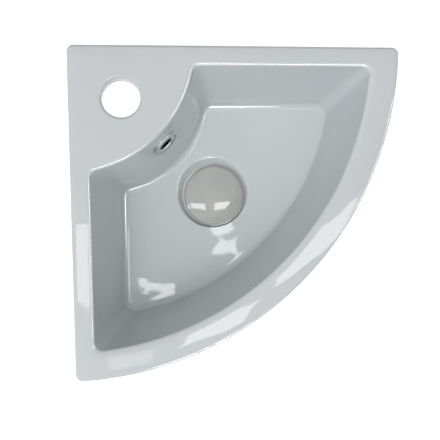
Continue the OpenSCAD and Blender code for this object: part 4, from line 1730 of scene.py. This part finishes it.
@dataclass
class CornerBasin:
    """The dressed basin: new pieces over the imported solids, and a finish for each of the rest."""

    casting: GlazedCasting = field(default_factory=GlazedCasting)
    trim: OverflowTrim = field(default_factory=OverflowTrim)
    waste: Waste = field(default_factory=Waste)
    plug: PlugTop = field(default_factory=PlugTop)

    def finishes(self) -> dict[str, Material]:
        """All finishes by name.

        Returns:
            The materials.
        """
        brass, brown = paint(206, 178, 118), paint(150, 116, 66)
        made = [
            BasinGlaze(),
            CapGlaze(),
            Plated("chrome_plate"),
            Turned("turned_brass", brass, brown),
            Turned("threaded_brass", brass, brown, thread=0.0008),
            Turned("spring_wire", paint(196, 200, 204), paint(140, 144, 150), 0.2, 0.00012),
            Turned("zinc_steel", paint(198, 202, 206), paint(150, 156, 158), 0.3, 0.0003),
            Moulded("black_rubber", paint(38, 38, 39), paint(62, 62, 62), 0.55),
            Moulded("pale_rubber", paint(216, 216, 208), paint(196, 196, 186), 0.5),
            Moulded("black_plastic", paint(44, 44, 46), paint(66, 66, 68), 0.36, Mould.GROUND),
            Moulded(
                "white_plastic", paint(232, 232, 228), paint(214, 214, 206), 0.34, Mould.GROUND
            ),
        ]
        return {finish.name: finish.material() for finish in made}

    def dress(self) -> None:
        """Builds every new piece and finishes the rest of the solids."""
        finish = self.finishes()
        new = [
            (self.casting.build(), "basin_body", "glaze", "basin_glaze", 30.0),
            (self.trim.build(), "overflow_ring", "chrome", "chrome_plate", 32.0),
            (self.waste.shell(), "waste_body", "chrome", "chrome_plate", 32.0),
            (self.waste.thread(), None, "chrome", "chrome_plate", 32.0),
            (self.waste.nut(), "back_nut", "brass", "turned_brass", 25.0),
            (self.waste.seal(), "taper_seal", "black_rubber", "black_rubber", 40.0),
            (self.waste.washer(), "slip_washer", "white_plastic", "white_plastic", 30.0),
            (self.plug.cap(), "plug_cap", "cap_glaze", "cap_glaze", 32.0),
            (self.plug.spring(), "latch_spring", "spring_steel", "spring_wire", 50.0),
        ]
        for piece, node, slot, coat, sharp in new:
            smooth(piece, sharp)
            piece.data.materials.append(finish[coat])
            if node:
                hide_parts(node)
            if node == "latch_spring":
                settle(piece)
                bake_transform(piece)
            else:
                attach(piece, PLUG_BODY if node == "plug_cap" else WALL_BODY)
            LOG.info("%s: %d faces, %s", piece.name, len(piece.data.polygons), coat)
        kept = {
            "overflow_sleeve": "black_plastic",
            "flange_gasket": "pale_rubber",
            "latch_barrel": "turned_brass",
            "barrel_cap": "turned_brass",
            "latch_rotor": "white_plastic",
            "push_stem": "threaded_brass",
            "stem_lock_nut": "zinc_steel",
            "plug_carrier": "chrome_plate",
            "plug_seal": "black_rubber",
        }
        for node, coat in kept.items():
            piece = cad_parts[node]
            piece.data.materials.clear()
            piece.data.materials.append(finish[coat])
            LOG.info("%s keeps its solid, %s", node, coat)


def main() -> None:
    """Builds the basin and its studio."""
    logging.basicConfig(level=logging.INFO, format="%(name)s: %(message)s")
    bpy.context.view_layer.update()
    CornerBasin().dress()
    Studio().build()
    bpy.context.view_layer.update()


if __name__ == "__main__":
    main()
